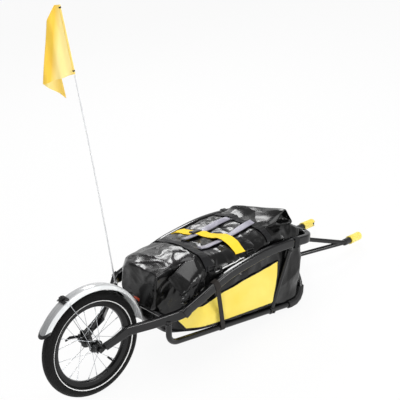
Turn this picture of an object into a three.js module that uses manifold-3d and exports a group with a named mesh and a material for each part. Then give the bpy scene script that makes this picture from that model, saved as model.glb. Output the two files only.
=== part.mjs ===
// A single wheel touring trailer for a bicycle, as an assembly of separate pieces, in millimetres.
//
// Most of it is built in the towing position: +X forwards to the hitch, +Y to the left, +Z up, with
// the origin on the ground below the axle. Unhitched, the trailer tips nose down about its axle until
// the two front feet reach the ground, and that is how the finished group stands.
import * as THREE from 'three';
import { mergeVertices } from 'three/addons/utils/BufferGeometryUtils.js';
import Module from 'manifold-3d';

const wasm = await Module();
wasm.setup();

// Fits that the whole object shares
const gap = 0.3;
const overrun = 40;
const tubeSides = 10;
const turnedSides = 16;
const bendSteps = 5;
const arcSteps = 12;

// Wheel
const wheelRadius = 198;
const tyreWidth = 47;
const tyreHeight = 44;
const tyreWall = 3;
const treadThickness = 5;
const wheelSteps = 40;
const rimSeatRadius = 152.5;
const rimFlangeHeight = 5.5;
const rimFlangeThickness = 2.5;
const rimInnerWidth = 20;
const rimDepth = 13.5;
const rimWellDepth = 4;
const tubeRadius = 14;
const spokeCount = 20;
const spokeRadius = 1;
const nippleRadius = 2;
const nippleLength = 12;
const spokeCrossing = 54;
const valveAngle = -57;
const valveRadius = 3.2;
const valveLength = 34;
const valveCapRadius = 4;
const valveCapLength = 15;

// Hub, axle and quick release
const hubWidth = 100;
const hubShellWidth = 62;
const hubBarrelRadius = 13;
const hubEndRadius = 16;
const flangeRadius = 24;
const flangeThickness = 3;
const flangeSpacing = 54;
const spokeCircleRadius = 20;
const bearingRadius = 13;
const bearingWidth = 8;
const axleRadius = 5;
const axleShoulderRadius = 8.5;
const skewerRadius = 2.4;
const skewerNutRadius = 9.5;
const skewerNutLength = 11;
const camHousingLength = 7;
const camRadius = 6;
const camHeight = 18;
const leverLength = 62;
const leverWidth = 11;
const leverThickness = 5;

// Frame: the side beams, from the dropouts to the front crossbar
const dropoutThickness = 6.4;
const dropoutRadius = 17;
const dropoutReach = 46;
const dropoutSlotAngle = -100;
const beamWidth = 24;
const beamHeight = 35;
const beamFrontHeight = 34;
const beamCorner = 6;
const beamWall = 2.2;
const stayWidth = 18;
const stayEndWidth = 14;
const stayEndHeight = 26;
const frameHalfWidth = 198;
const collarLength = 16;
const collarThickness = 2.4;
const crossbarX = 890;
const crossbarHeight = 462;
const cornerRadius = 45;

// Frame: the cradle under the bag
const cradleRadius = 11;
const cradleInset = 38;
const cradleHalfWidth = frameHalfWidth - cradleInset;
const cradleRearX = 222;
const cradleRearHeight = 194;
const cradleFrontX = 912;
const cradleFrontHeight = 185;
const cradleRearBend = 45;
const cradleFrontBend = 75;
const loopTopHalfWidth = 38;
const loopTopX = 892;
const strutRadius = 8.5;
const strutFootX = 728;
const strutTopX = 780;
const strutClampRadius = 15;
const strutClampLength = 22;
const crossTubeRadius = 9;
const floorTubeX = 560;
const rearBarX = 218;
const rearBarHeight = 291;
const bridgeHeight = 262;
const bridgeRadius = 10;
const footRadius = 16;
const footLengthBehind = 95;
const footLengthAhead = 70;
const footTop = 238;
const footFlat = 1.5;

// Steering pivot and hitch yoke
const pivotX = 931;
const headTubeBottom = 277.3;
const headTubeTop = 410.7;
const headTubeRadius = 19;
const headTubeBore = 14;
const bushFlange = 2;
const bushLength = 16;
const pivotPinRadius = 6;
const pivotPinHeadRadius = 10;
const pivotPinHeadHeight = 7;
const lugThickness = 14;
const lugRadius = 21;
const yokeAngle = 9.9;
const armRadius = 9;
const armUpperHeight = 392;
const armLowerHeight = 295;
const hitchHalfSpacing = 118;
const hitchHeight = 322;
const hitchStart = 290;
const socketRadius = 14;
const socketLength = 36;
const coreRadius = 11.5;
const coreLength = 77;
const axleSlotWidth = 11;
const axleSlotFromTip = 9;
const sleeveRadius = 18;
const sleeveLength = 77;
const sleeveLip = 6;
const sleeveNotchLength = 19;
const sleeveNotchWidth = 14;

// Fender and its stays
const fenderLipRadius = 209;
const fenderCrownRise = 13;
const fenderCrownRadius = fenderLipRadius + fenderCrownRise;
const fenderWidth = 58;
const fenderThickness = 1.8;
const fenderFrontAngle = 9;
const fenderRearAngle = 151;
const fenderSteps = 20;
const fenderTipLength = 30;
const fenderTipGrowth = 1.4;
const fenderClampAngle = 119.7;
const fenderClampLength = 34;
const fenderClampThickness = 3;
const fenderEarHeight = 14;
const stayWireRadius = 1.8;
const stayEyeHeight = 24;
const fenderMountRadius = 6;

// Flag
const poleRadius = 2.6;
const poleInset = 78;
const poleSide = frameHalfWidth - poleInset;
const poleTopX = -36;
const poleTopHeight = 1366;
const poleBendX = 96;
const poleBendHeight = 836;
const poleSteps = 14;
const poleSides = 8;
const socketTubeRadius = 7.5;
const socketTubeLength = 44;
const socketFloor = 5;
const flagHoist = 240;
const flagHoistDrop = 1;
const flagTopWidth = 14;
const flagFoldReach = 95;
const flagFoldedBack = 98;
const flagFoldTopDrop = 42;
const flagBottomSlope = 10;
const flagFoldRadius = 4;
const flagThickness = 2;
const flagWave = 5;
const flagWaveLength = 52;
const flagDirection = 140;
const flagRows = 11;
const flagFrontColumns = 7;
const flagBendColumns = 5;
const flagBackColumns = 5;
const flagClipLength = 12;
const flagClipGap = 0.5;

// Bag and its webbing
const bagRearX = 202;
const bagFrontX = 867;
const bagSideClearance = 5;
const bagHalfWidth = frameHalfWidth - beamWidth / 2 - bagSideClearance;
const bagHeight = 325;
const bagClearance = 3;
const webbingThickness = 2;
const rearStrapX = 410;
const rearStrapWidth = 38;
const frontStrapX = 548;
const frontStrapWidth = 34;
const strapFootRearShare = 0.4;
const strapFootRiseShare = 0.55;
const handleWidth = 26;
const handleThickness = 7;
const handleLength = 290;
const handleCentreX = 575;
const handleHalfSpacing = 62;
const panelThickness = 1.6;
const rollWidth = 76;
const rollHeight = 60;
const sideStrapTopX = 400;
const sideStrapFootX = 470;
const sideStrapWidth = 20;

// Colours and surfaces
const finishes = {
  frame: { color: 0x17181a, roughness: 0.42, metalness: 0.3 },
  tyre: { color: 0x1b1b1c, roughness: 0.9, metalness: 0 },
  rubber: { color: 0x2b2c2e, roughness: 0.85, metalness: 0 },
  rim: { color: 0x101112, roughness: 0.4, metalness: 0.4 },
  silver: { color: 0xc4c7ca, roughness: 0.3, metalness: 0.9 },
  fender: { color: 0xd5d7d8, roughness: 0.35, metalness: 0.5 },
  plastic: { color: 0x161617, roughness: 0.5, metalness: 0 },
  yellowPlastic: { color: 0xf7cf1f, roughness: 0.45, metalness: 0 },
  tarpaulin: { color: 0x101113, roughness: 0.35, metalness: 0 },
  yellowPanel: { color: 0xffe04a, roughness: 0.5, metalness: 0 },
  webbing: { color: 0x1a1b1d, roughness: 0.85, metalness: 0 },
  yellowWebbing: { color: 0xf8d22a, roughness: 0.8, metalness: 0 },
  reflective: { color: 0x9b9ba6, roughness: 0.5, metalness: 0.1 },
  flag: { color: 0xffd21f, roughness: 0.8, metalness: 0 },
  pole: { color: 0xe9eaec, roughness: 0.4, metalness: 0 },
};

const vector = (x, y, z) => new THREE.Vector3(x, y, z);
const radians = THREE.MathUtils.degToRad;
const between = THREE.MathUtils.lerp;
const sides = [['right', -1], ['left', 1]];

// Solids: every piece is a closed mesh with its faces pointing out

function merged(geometry) {
  const bare = geometry.clone();
  for (const name of Object.keys(bare.attributes)) if (name !== 'position') bare.deleteAttribute(name);
  return mergeVertices(bare);
}

function facingOut(geometry) {
  const solid = merged(geometry);
  const place = solid.attributes.position;
  const index = solid.index.array;
  const [a, b, c] = [vector(), vector(), vector()];
  let volume = 0;
  for (let i = 0; i < index.length; i += 3) {
    a.fromBufferAttribute(place, index[i]);
    b.fromBufferAttribute(place, index[i + 1]);
    c.fromBufferAttribute(place, index[i + 2]);
    volume += a.dot(b.cross(c));
  }
  for (let i = 0; volume < 0 && i < index.length; i += 3) [index[i], index[i + 1]] = [index[i + 1], index[i]];
  return solid;
}

function solidOf(geometry) {
  const source = facingOut(geometry);
  const mesh = new wasm.Mesh({
    numProp: 3,
    vertProperties: new Float32Array(source.attributes.position.array),
    triVerts: new Uint32Array(source.index.array),
  });
  return new wasm.Manifold(mesh);
}

function geometryOf(solid) {
  const mesh = solid.getMesh();
  const geometry = new THREE.BufferGeometry();
  geometry.setAttribute('position', new THREE.BufferAttribute(new Float32Array(mesh.vertProperties), 3));
  geometry.setIndex(new THREE.BufferAttribute(new Uint32Array(mesh.triVerts), 1));
  return geometry;
}

function joined(first, ...others) {
  return geometryOf(others.reduce((sum, other) => sum.add(solidOf(other)), solidOf(first)));
}

function carved(body, ...cutters) {
  return geometryOf(cutters.reduce((rest, cutter) => rest.subtract(solidOf(cutter)), solidOf(body)));
}

function shared(first, ...others) {
  return geometryOf(others.reduce((rest, other) => rest.intersect(solidOf(other)), solidOf(first)));
}

// Basic shapes

function box(low, high) {
  const size = high.clone().sub(low);
  const middle = low.clone().add(high).multiplyScalar(0.5);
  return new THREE.BoxGeometry(size.x, size.y, size.z).translate(middle.x, middle.y, middle.z);
}

function rod(start, end, radius, sideCount = tubeSides) {
  const along = end.clone().sub(start);
  const turn = new THREE.Quaternion().setFromUnitVectors(vector(0, 1, 0), along.clone().normalize());
  const middle = start.clone().add(end).multiplyScalar(0.5);
  return new THREE.CylinderGeometry(radius, radius, along.length(), sideCount)
    .applyQuaternion(turn).translate(middle.x, middle.y, middle.z);
}

function turned(profile, steps = turnedSides) {
  const points = profile.map(([radius, along]) => new THREE.Vector2(radius, along));
  return new THREE.LatheGeometry([...points, points[0]], steps);
}

function roundedRectangle(width, height, corner, cornerSteps = 1) {
  const points = [];
  const centres = [[1, 1], [-1, 1], [-1, -1], [1, -1]];
  centres.forEach(([across, up], quarter) => {
    for (let i = 0; i <= cornerSteps; i += 1) {
      const angle = (quarter + i / cornerSteps) * Math.PI / 2;
      points.push(new THREE.Vector2(
        across * (width / 2 - corner) + corner * Math.cos(angle),
        up * (height / 2 - corner) + corner * Math.sin(angle),
      ));
    }
  });
  return points;
}

// A loft through outlines, each drawn in the plane of its own side and up vectors
function loft(stations) {
  const count = stations[0].outline.length;
  const points = stations.flatMap(({ origin, side, up, outline }) => outline.map(
    (point) => origin.clone().addScaledVector(side, point.x).addScaledVector(up, point.y),
  ));
  const index = [];
  for (let s = 0; s + 1 < stations.length; s += 1) {
    for (let i = 0; i < count; i += 1) {
      const [a, b] = [s * count + i, s * count + (i + 1) % count];
      index.push(a, b, b + count, a, b + count, a + count);
    }
  }
  const last = (stations.length - 1) * count;
  for (const [a, b, c] of THREE.ShapeUtils.triangulateShape(stations[0].outline, [])) index.push(c, b, a);
  for (const [a, b, c] of THREE.ShapeUtils.triangulateShape(stations.at(-1).outline, [])) {
    index.push(last + a, last + b, last + c);
  }
  const geometry = new THREE.BufferGeometry().setFromPoints(points);
  geometry.setIndex(index);
  return geometry;
}

// A path of straight runs whose corners are rounded to a radius, with stations only where it bends
class BentPath extends THREE.Curve {
  constructor(corners, bendRadii) {
    super();
    this.stations = [{ at: corners[0], heading: corners[1].clone().sub(corners[0]).normalize() }];
    for (let i = 1; i + 1 < corners.length; i += 1) this.addBend(corners, i, bendRadii[i - 1]);
    const end = corners.at(-1);
    this.stations.push({ at: end, heading: end.clone().sub(corners.at(-2)).normalize() });
  }

  addBend(corners, i, radius) {
    const incoming = corners[i].clone().sub(corners[i - 1]).normalize();
    const outgoing = corners[i + 1].clone().sub(corners[i]).normalize();
    const turn = incoming.angleTo(outgoing);
    const axis = incoming.clone().cross(outgoing).normalize();
    const start = corners[i].clone().addScaledVector(incoming, -radius * Math.tan(turn / 2));
    const toCentre = axis.clone().cross(incoming);
    const centre = start.clone().addScaledVector(toCentre, radius);
    for (let k = 0; k <= bendSteps; k += 1) {
      const angle = turn * k / bendSteps;
      const arm = toCentre.clone().multiplyScalar(-radius).applyAxisAngle(axis, angle);
      const heading = incoming.clone().applyAxisAngle(axis, angle);
      this.stations.push({ at: centre.clone().add(arm), heading });
    }
  }

  getSpacedPoints() {
    return this.stations.map(({ at }) => at.clone());
  }

  computeFrenetFrames() {
    const tangents = this.stations.map(({ heading }) => heading.clone());
    const normals = [];
    for (const tangent of tangents) {
      const previous = normals.at(-1) ?? vector(0, 1, 0);
      const normal = previous.clone().addScaledVector(tangent, -previous.dot(tangent)).normalize();
      normals.push(normal);
    }
    const binormals = tangents.map((tangent, i) => tangent.clone().cross(normals[i]));
    return { tangents, normals, binormals };
  }
}

function bentTube(corners, bendRadii, radius, sideCount = tubeSides) {
  const path = new BentPath(corners, bendRadii);
  const circle = Array.from({ length: sideCount }, (_, i) => {
    const angle = 2 * Math.PI * i / sideCount;
    return new THREE.Vector2(radius * Math.cos(angle), radius * Math.sin(angle));
  });
  return new THREE.ExtrudeGeometry(new THREE.Shape(circle), {
    steps: path.stations.length - 1, extrudePath: path, bevelEnabled: false,
  });
}

// A beam of rounded rectangular section along centres, whose widths and heights may change
function beam(rows, growth = 0) {
  const stations = rows.map(({ at, width, height, corner, facing }, i) => {
    const heading = facing ?? (rows[i + 1]?.at ?? at).clone().sub(rows[i - 1]?.at ?? at).normalize();
    const side = vector(0, 0, 1).cross(heading).normalize();
    const up = heading.clone().cross(side);
    const outline = roundedRectangle(width + 2 * growth, height + 2 * growth, corner);
    return { origin: at.clone(), side, up, outline };
  });
  return loft(stations);
}

function stretched(rows, length) {
  const first = rows[0].at.clone().sub(rows[1].at).normalize();
  const final = rows.at(-1).at.clone().sub(rows.at(-2).at).normalize();
  return [
    { ...rows[0], at: rows[0].at.clone().addScaledVector(first, length) },
    ...rows.slice(1, -1),
    { ...rows.at(-1), at: rows.at(-1).at.clone().addScaledVector(final, length) },
  ];
}

function hollowBeam(rows, wall) {
  return carved(beam(rows), beam(stretched(rows, overrun), -wall));
}

// Groups: "stance" tips nose down, "level" holds what is drawn in the towing position
const trailer = new THREE.Group();
const level = new THREE.Group();
const wheel = new THREE.Group();
const yoke = new THREE.Group();
trailer.add(level, wheel);
level.add(yoke);

function add(group, name, geometry, finish) {
  const mesh = new THREE.Mesh(facingOut(geometry), new THREE.MeshStandardMaterial(finishes[finish]));
  mesh.name = name;
  group.add(mesh);
}

// The cradle's path is needed first, because the feet on its bends set how far the nose tips down
function cradleHeight(x) {
  const share = (x - cradleRearX) / (cradleFrontX - cradleRearX);
  return cradleRearHeight + share * (cradleFrontHeight - cradleRearHeight);
}

const cradleCorner = (side) => vector(cradleFrontX, side * cradleHalfWidth, cradleFrontHeight);
const loopTop = (side) => vector(loopTopX, side * loopTopHalfWidth, crossbarHeight);
const cradleRearCorner = (side) => vector(cradleRearX, side * cradleHalfWidth, cradleRearHeight);
const stayMeeting = (side) => vector(
  cradleRearX - cradleRadius, side * (cradleHalfWidth + cradleRadius), rearBarHeight,
);

function footCorners(side) {
  const corner = cradleCorner(side);
  const behind = cradleRearCorner(side).sub(corner).setLength(footLengthBehind).add(corner);
  const ahead = loopTop(side).sub(corner).setLength(footLengthAhead + cradleFrontBend / 2).add(corner);
  return [behind, corner, ahead];
}

function tipped(point, angle) {
  const axle = vector(0, 0, wheelRadius);
  return point.clone().sub(axle).applyAxisAngle(vector(0, 1, 0), angle).add(axle);
}

function restingAngle() {
  const path = new BentPath(footCorners(1), [cradleFrontBend]).getSpacedPoints();
  let [low, high] = [0, Math.PI / 4];
  for (let i = 0; i < 40; i += 1) {
    const angle = (low + high) / 2;
    const lowest = Math.min(...path.map((point) => tipped(point, angle).z));
    if (lowest > footRadius - footFlat) low = angle; else high = angle;
  }
  return (low + high) / 2;
}

const noseDown = restingAngle();
level.rotation.y = noseDown;
level.position.copy(tipped(vector(0, 0, 0), noseDown));

// Wheel, about its axle at the origin of its own group
wheel.position.set(0, 0, wheelRadius);

function tyre() {
  const middle = wheelRadius - tyreHeight / 2;
  const openAngle = radians(138);
  const arc = (radial, across, steps, sign) => Array.from({ length: steps + 1 }, (_, i) => {
    const angle = sign * openAngle * (2 * i / steps - 1);
    return [middle + radial * Math.cos(angle), across * Math.sin(angle)];
  });
  const outer = arc(tyreHeight / 2, tyreWidth / 2, 10, 1);
  const inner = arc(tyreHeight / 2 - treadThickness, tyreWidth / 2 - tyreWall, 6, -1);
  const beadSide = rimInnerWidth / 2 - gap;
  const beadToe = beadSide - tyreWall - gap;
  const beadRadius = rimSeatRadius + gap;
  const flangeTop = rimSeatRadius + rimFlangeHeight + gap;
  return turned([
    ...outer, [flangeTop, beadSide], [beadRadius, beadSide], [beadRadius, beadToe],
    ...inner, [beadRadius, -beadToe], [beadRadius, -beadSide], [flangeTop, -beadSide],
  ], wheelSteps);
}

function innerTube() {
  const middle = wheelRadius - tyreHeight / 2;
  return new THREE.TorusGeometry(middle, tubeRadius, tubeSides - 4, wheelSteps).rotateX(Math.PI / 2);
}

const rimInnerRadius = rimSeatRadius - rimDepth;
const rimHalfWidth = rimInnerWidth / 2 + rimFlangeThickness;
const polar = (angle, radius) => vector(radius * Math.cos(angle), 0, radius * Math.sin(angle));
const valveDirection = polar(radians(valveAngle), 1);

function rim() {
  const top = rimSeatRadius + rimFlangeHeight;
  const well = rimSeatRadius - rimWellDepth;
  const half = [
    [rimInnerRadius, rimHalfWidth / 3], [rimInnerRadius + rimWellDepth, rimHalfWidth - rimFlangeThickness],
    [rimSeatRadius - rimWellDepth, rimHalfWidth], [top, rimHalfWidth], [top, rimInnerWidth / 2],
    [rimSeatRadius, rimInnerWidth / 2], [rimSeatRadius, rimInnerWidth / 3], [well, rimInnerWidth / 4],
  ];
  const mirrored = half.map(([radius, across]) => [radius, -across]).reverse();
  const ring = turned([...half, ...mirrored], wheelSteps);
  const start = valveDirection.clone().multiplyScalar(rimInnerRadius - overrun);
  const end = valveDirection.clone().multiplyScalar(rimSeatRadius + overrun);
  return carved(ring, rod(start, end, valveRadius + gap));
}

function valve(fromRadius, toRadius, radius) {
  const start = valveDirection.clone().multiplyScalar(fromRadius);
  const end = valveDirection.clone().multiplyScalar(toRadius);
  return rod(start, end, radius, 10);
}

function hubShell() {
  const half = hubShellWidth / 2;
  const flangeOut = flangeSpacing / 2;
  const flangeIn = flangeOut - flangeThickness;
  const seat = half - bearingWidth - gap;
  const bore = bearingRadius + gap;
  return turned([
    [hubEndRadius, -half], [hubEndRadius, -flangeOut], [flangeRadius, -flangeOut], [flangeRadius, -flangeIn],
    [hubBarrelRadius, -flangeIn + flangeThickness], [hubBarrelRadius, flangeIn - flangeThickness],
    [flangeRadius, flangeIn], [flangeRadius, flangeOut], [hubEndRadius, flangeOut], [hubEndRadius, half],
    [bore, half], [bore, seat], [axleShoulderRadius, seat], [axleShoulderRadius, -seat], [bore, -seat],
    [bore, -half],
  ]);
}

function bearing(side) {
  const outer = side * hubShellWidth / 2;
  const inner = outer - side * bearingWidth;
  const bore = axleRadius + gap;
  return turned([[bore, inner], [bearingRadius, inner], [bearingRadius, outer], [bore, outer]]);
}

// Ten spokes a side, each with its nipple, held together at their elbows by a thin ring on the flange
function spokeSet(side) {
  const ringSide = side * (flangeSpacing / 2 + gap + 3 * spokeRadius);
  const ring = new THREE.TorusGeometry(spokeCircleRadius, spokeRadius * 1.2, 4, turnedSides)
    .rotateX(Math.PI / 2).translate(0, ringSide, 0);
  const pieces = [ring];
  const count = spokeCount / 2;
  const endRadius = rimInnerRadius - 3 * gap;
  for (let i = 0; i < count; i += 1) {
    const rimAngle = radians(360 * (i + (side > 0 ? 0.5 : 0)) / count);
    const hubAngle = rimAngle + radians(spokeCrossing) * (i % 2 ? 1 : -1);
    const rimSide = side * rimHalfWidth / 4;
    const elbow = polar(hubAngle, spokeCircleRadius).setY(ringSide);
    const end = polar(rimAngle, endRadius).setY(rimSide);
    const neck = elbow.clone().sub(end).setLength(nippleLength).add(end);
    const inside = neck.clone().lerp(end, 0.5);
    pieces.push(rod(elbow, inside, spokeRadius, 4));
    pieces.push(rod(neck, end, nippleRadius, 4));
  }
  return joined(...pieces);
}

add(wheel, 'tyre', tyre(), 'tyre');
add(wheel, 'inner_tube', innerTube(), 'rubber');
add(wheel, 'rim', rim(), 'rim');
add(wheel, 'hub_shell', hubShell(), 'silver');
for (const [name, side] of sides) {
  add(wheel, `hub_bearing_${name}`, bearing(side), 'silver');
  add(wheel, `spokes_${name}`, spokeSet(side), 'silver');
}
const valveTop = wheelRadius - tyreHeight / 2 - tubeRadius - 3 * gap;
const valveTip = rimInnerRadius - valveLength;
add(wheel, 'valve', joined(
  valve(valveTop, valveTip, valveRadius), valve(valveTip + valveCapLength, valveTip, valveCapRadius),
), 'silver');

// Axle, dropouts and quick release, at the axle's height in the towing position
const axleAt = (y) => vector(0, y, wheelRadius);
const dropoutIn = hubWidth / 2 + gap;
const dropoutOut = dropoutIn + dropoutThickness;

function axle() {
  const shoulderIn = hubShellWidth / 2 + gap;
  const shoulderOut = hubWidth / 2;
  const end = dropoutOut - gap;
  const bore = skewerRadius + gap;
  return turned([
    [axleRadius, -end], [axleRadius, -shoulderOut], [axleShoulderRadius, -shoulderOut],
    [axleShoulderRadius, -shoulderIn], [axleRadius, -shoulderIn], [axleRadius, shoulderIn],
    [axleShoulderRadius, shoulderIn], [axleShoulderRadius, shoulderOut], [axleRadius, shoulderOut],
    [axleRadius, end], [bore, end], [bore, -end],
  ]).translate(0, 0, wheelRadius);
}

// The skewer's rod carries the cam's housing on its left end
function skewer() {
  const housing = dropoutOut + gap;
  const end = housing + camHousingLength;
  const start = -dropoutOut - gap - skewerNutLength / 2;
  return turned([
    [0, start], [skewerRadius, start], [skewerRadius, housing], [skewerNutRadius, housing],
    [skewerNutRadius * 0.8, end], [0, end],
  ]).translate(0, 0, wheelRadius);
}

function skewerNut() {
  const face = -dropoutOut - gap;
  const bore = skewerRadius + gap;
  const floor = face - skewerNutLength / 2 - gap;
  const end = face - skewerNutLength;
  return turned([
    [skewerNutRadius, face], [skewerNutRadius, end + flangeThickness], [skewerNutRadius * 0.7, end], [0, end],
    [0, floor], [bore, floor], [bore, face],
  ]).translate(0, 0, wheelRadius);
}

const camY = dropoutOut + camHousingLength + 2 * gap + camRadius;

// The closed lever lies along the frame, pointing rearwards with its tip curled in
function skewerLever() {
  const barrel = rod(
    vector(0, camY, wheelRadius - camHeight / 2), vector(0, camY, wheelRadius + camHeight / 2), camRadius,
  );
  const bendShares = [[0, 0, 0], [0.3, 0.06, 0.04], [0.65, 0.05, 0.1], [1, -0.08, 0.06]];
  const rows = bendShares.map(([back, out, rise], i) => ({
    at: vector(-back * leverLength, camY + out * leverLength, wheelRadius + rise * leverLength),
    width: leverThickness,
    height: leverWidth * (i === bendShares.length - 1 ? 0.75 : 1),
    corner: leverThickness / 3,
  }));
  return joined(barrel, beam(rows));
}

// A plate that hooks over the axle and reaches forwards along the inside of the stay
function dropout(side) {
  const round = Array.from({ length: arcSteps + 1 }, (_, i) => {
    const angle = radians(60 + 240 * i / arcSteps);
    return new THREE.Vector2(dropoutRadius * Math.cos(angle), dropoutRadius * Math.sin(angle));
  });
  const reach = [
    new THREE.Vector2(dropoutReach, stayEndHeight / 4),
    new THREE.Vector2(dropoutReach, stayEndHeight),
  ];
  const plate = new THREE.ExtrudeGeometry(new THREE.Shape([...round, ...reach]), {
    depth: dropoutThickness, bevelEnabled: false,
  }).rotateX(Math.PI / 2);
  const inner = side > 0 ? dropoutOut : -dropoutIn;
  plate.translate(0, inner, wheelRadius);
  const slotWidth = axleRadius + gap;
  const slotTurn = radians(dropoutSlotAngle + 90);
  const slot = box(vector(-slotWidth, -overrun, -overrun), vector(slotWidth, overrun, 0))
    .rotateY(-slotTurn).translate(0, side * dropoutIn, wheelRadius);
  const [near, far] = [side * dropoutIn - overrun, side * dropoutIn + overrun];
  const seat = rod(axleAt(near), axleAt(far), slotWidth, turnedSides);
  const eye = rod(stayEye(side).setY(near), stayEye(side).setY(far), stayWireRadius);
  const ear = rod(
    stayEye(side).setY(side * dropoutIn), stayEye(side).setY(side * dropoutOut), dropoutRadius / 2,
  );
  return carved(joined(plate, ear), slot, seat, eye);
}

const stayEye = (side) => vector(0, side * dropoutOut, wheelRadius + stayEyeHeight);

// Where the centres of a beam's rows pass a place along the trailer
function pointAt(rows, x) {
  const next = rows.findIndex(({ at }) => at.x >= x);
  const [low, high] = [rows[next - 1].at, rows[next].at];
  return low.clone().lerp(high, (x - low.x) / (high.x - low.x));
}

// Rear stays: they leave the dropouts, bend outwards past the tyre and rise to the side rails
const stayInner = dropoutOut + gap;
const stayStartX = skewerNutRadius + 2 * gap + stayEndWidth / 2;
const jointX = rearBarX + 2 * beamWidth - 4;
const jointHeight = 321;
const stayShapeShares = [
  [0, 0, 0.05], [0.18, 0.03, 0.22], [0.32, 0.07, 0.37], [0.38, 0.13, 0.43],
  [0.64, 0.52, 0.64], [0.86, 0.87, 0.87], [0.93, 0.96, 0.945], [1, 1, 1],
];

function stayRows(side) {
  return stayShapeShares.map(([along, out, rise], i) => {
    const full = Math.min(1, i / 2);
    const width = stayEndWidth + full * (stayWidth - stayEndWidth)
      + (i > 4 ? (beamWidth - stayWidth) * (i - 4) / 3 : 0);
    return {
      at: vector(
        stayStartX + along * (jointX - stayStartX),
        side * (stayInner + width / 2 + out * (frameHalfWidth - beamWidth / 2 - stayInner)),
        wheelRadius + rise * (jointHeight - wheelRadius),
      ),
      width,
      height: stayEndHeight + full * (beamHeight - stayEndHeight),
      corner: beamCorner * 0.8,
    };
  });
}

// Side rails: they arch up from the rear joint, run along the bag and turn in to the front crossbar
const railShapeShares = [
  [0, 0], [0.1, 0.19], [0.19, 0.37], [0.275, 0.53], [0.38, 0.69],
  [0.52, 0.83], [0.67, 0.95], [0.82, 1], [1, 1],
];

function railRows(side, growth = 0) {
  const startX = jointX + gap;
  const straightEnd = crossbarX - cornerRadius;
  const straight = railShapeShares.map(([along, rise]) => ({
    at: vector(
      startX + along * (straightEnd - startX), side * frameHalfWidth,
      jointHeight + rise * (crossbarHeight - jointHeight),
    ),
    height: beamHeight + along * (beamFrontHeight - beamHeight),
  }));
  const turn = Array.from({ length: bendSteps }, (_, i) => {
    const angle = (i + 1) / bendSteps * Math.PI / 2;
    return {
      at: vector(
        straightEnd + cornerRadius * Math.sin(angle),
        side * (frameHalfWidth - cornerRadius + cornerRadius * Math.cos(angle)),
        crossbarHeight,
      ),
      facing: vector(Math.cos(angle), -side * Math.sin(angle), 0),
      height: beamFrontHeight,
    };
  });
  return [...straight, ...turn].map((row) => ({ ...row, width: beamWidth, corner: beamCorner }));
}

// The rail's rear end is a collar that the stay's end slips into
function rail(side) {
  const rows = railRows(side);
  const heading = rows[1].at.clone().sub(rows[0].at).normalize();
  const collarRows = [-0.55, 0.45].map((share) => ({
    ...rows[0], at: rows[0].at.clone().addScaledVector(heading, share * collarLength),
  }));
  const tube = hollowBeam(rows, beamWall);
  const socket = beam(stayRows(side), gap);
  const bore = beam(stretched(rows, overrun), -beamWall);
  return carved(joined(beam(collarRows, collarThickness), tube), socket, bore);
}

const halfCrossbar = frameHalfWidth - cornerRadius;

function lugOutline(rearX) {
  const nose = Array.from({ length: arcSteps + 1 }, (_, i) => {
    const angle = radians(-90 + 180 * i / arcSteps);
    return new THREE.Vector2(pivotX + lugRadius * Math.cos(angle), lugRadius * Math.sin(angle));
  });
  return [...nose, new THREE.Vector2(rearX, lugRadius), new THREE.Vector2(rearX, -lugRadius)];
}

function lug(rearX, bottom) {
  const plate = new THREE.ExtrudeGeometry(new THREE.Shape(lugOutline(rearX)), {
    depth: lugThickness, bevelEnabled: false,
  }).translate(0, 0, bottom);
  const top = bottom + lugThickness;
  const bore = rod(
    vector(pivotX, 0, bottom - overrun), vector(pivotX, 0, top + overrun), pivotPinRadius + gap, turnedSides,
  );
  return carved(plate, bore);
}

const upperLugBottom = headTubeTop + bushFlange + 2 * gap;
const lowerLugBottom = headTubeBottom - bushFlange - 2 * gap - lugThickness;

function frontCrossbar() {
  const rows = [-1, 1].map((side) => ({
    at: vector(crossbarX, side * (halfCrossbar - gap), crossbarHeight),
    width: beamWidth, height: beamFrontHeight, corner: beamCorner,
  }));
  const bar = hollowBeam(rows, beamWall);
  const web = box(
    vector(crossbarX - beamWidth / 2, -lugRadius, upperLugBottom),
    vector(crossbarX + beamWidth / 2, lugRadius, crossbarHeight - beamFrontHeight / 2 + beamWall / 2),
  );
  return joined(bar, web, lug(crossbarX, upperLugBottom));
}

function cradlePath(side) {
  return [stayMeeting(side), cradleRearCorner(side), cradleCorner(side), loopTop(side)];
}

function cradleTube(side, growth = 0) {
  return bentTube(cradlePath(side), [cradleRearBend, cradleFrontBend], cradleRadius + growth);
}

const crossbarBlock = (growth) => beam([-1, 1].map((side) => ({
  at: vector(crossbarX, side * halfCrossbar, crossbarHeight),
  width: beamWidth, height: beamFrontHeight, corner: beamCorner,
})), growth);

function crossTube(x, height, radius, reach) {
  return rod(vector(x, -reach, height), vector(x, reach, height), radius);
}

// A strut from the cradle to the rail, with a clamp around the cradle's tube
function strut(side) {
  const foot = vector(strutFootX, side * cradleHalfWidth, cradleHeight(strutFootX));
  const top = vector(strutTopX, side * frameHalfWidth, crossbarHeight);
  const along = cradleCorner(side).sub(cradleRearCorner(side)).normalize();
  const half = strutClampLength / 2;
  const clamp = rod(
    foot.clone().addScaledVector(along, -half), foot.clone().addScaledVector(along, half), strutClampRadius,
  );
  const above = box(
    vector(strutTopX - overrun, side * frameHalfWidth - overrun, crossbarHeight - beamCorner),
    vector(strutTopX + overrun, side * frameHalfWidth + overrun, crossbarHeight + overrun),
  );
  const body = joined(clamp, rod(foot, top, strutRadius));
  return carved(body, cradleTube(side, gap), beam(railRows(side), gap), above);
}

// Where the cradle's left tube rises through a height in front of the bag
function loopPoint(height) {
  const { stations } = new BentPath(cradlePath(1), [cradleRearBend, cradleFrontBend]);
  const next = stations.findIndex(({ at }) => at.x > crossbarX - cornerRadius && at.z >= height);
  const [low, high] = [stations[next - 1].at, stations[next].at];
  return low.clone().lerp(high, (height - low.z) / (high.z - low.z));
}

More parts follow.
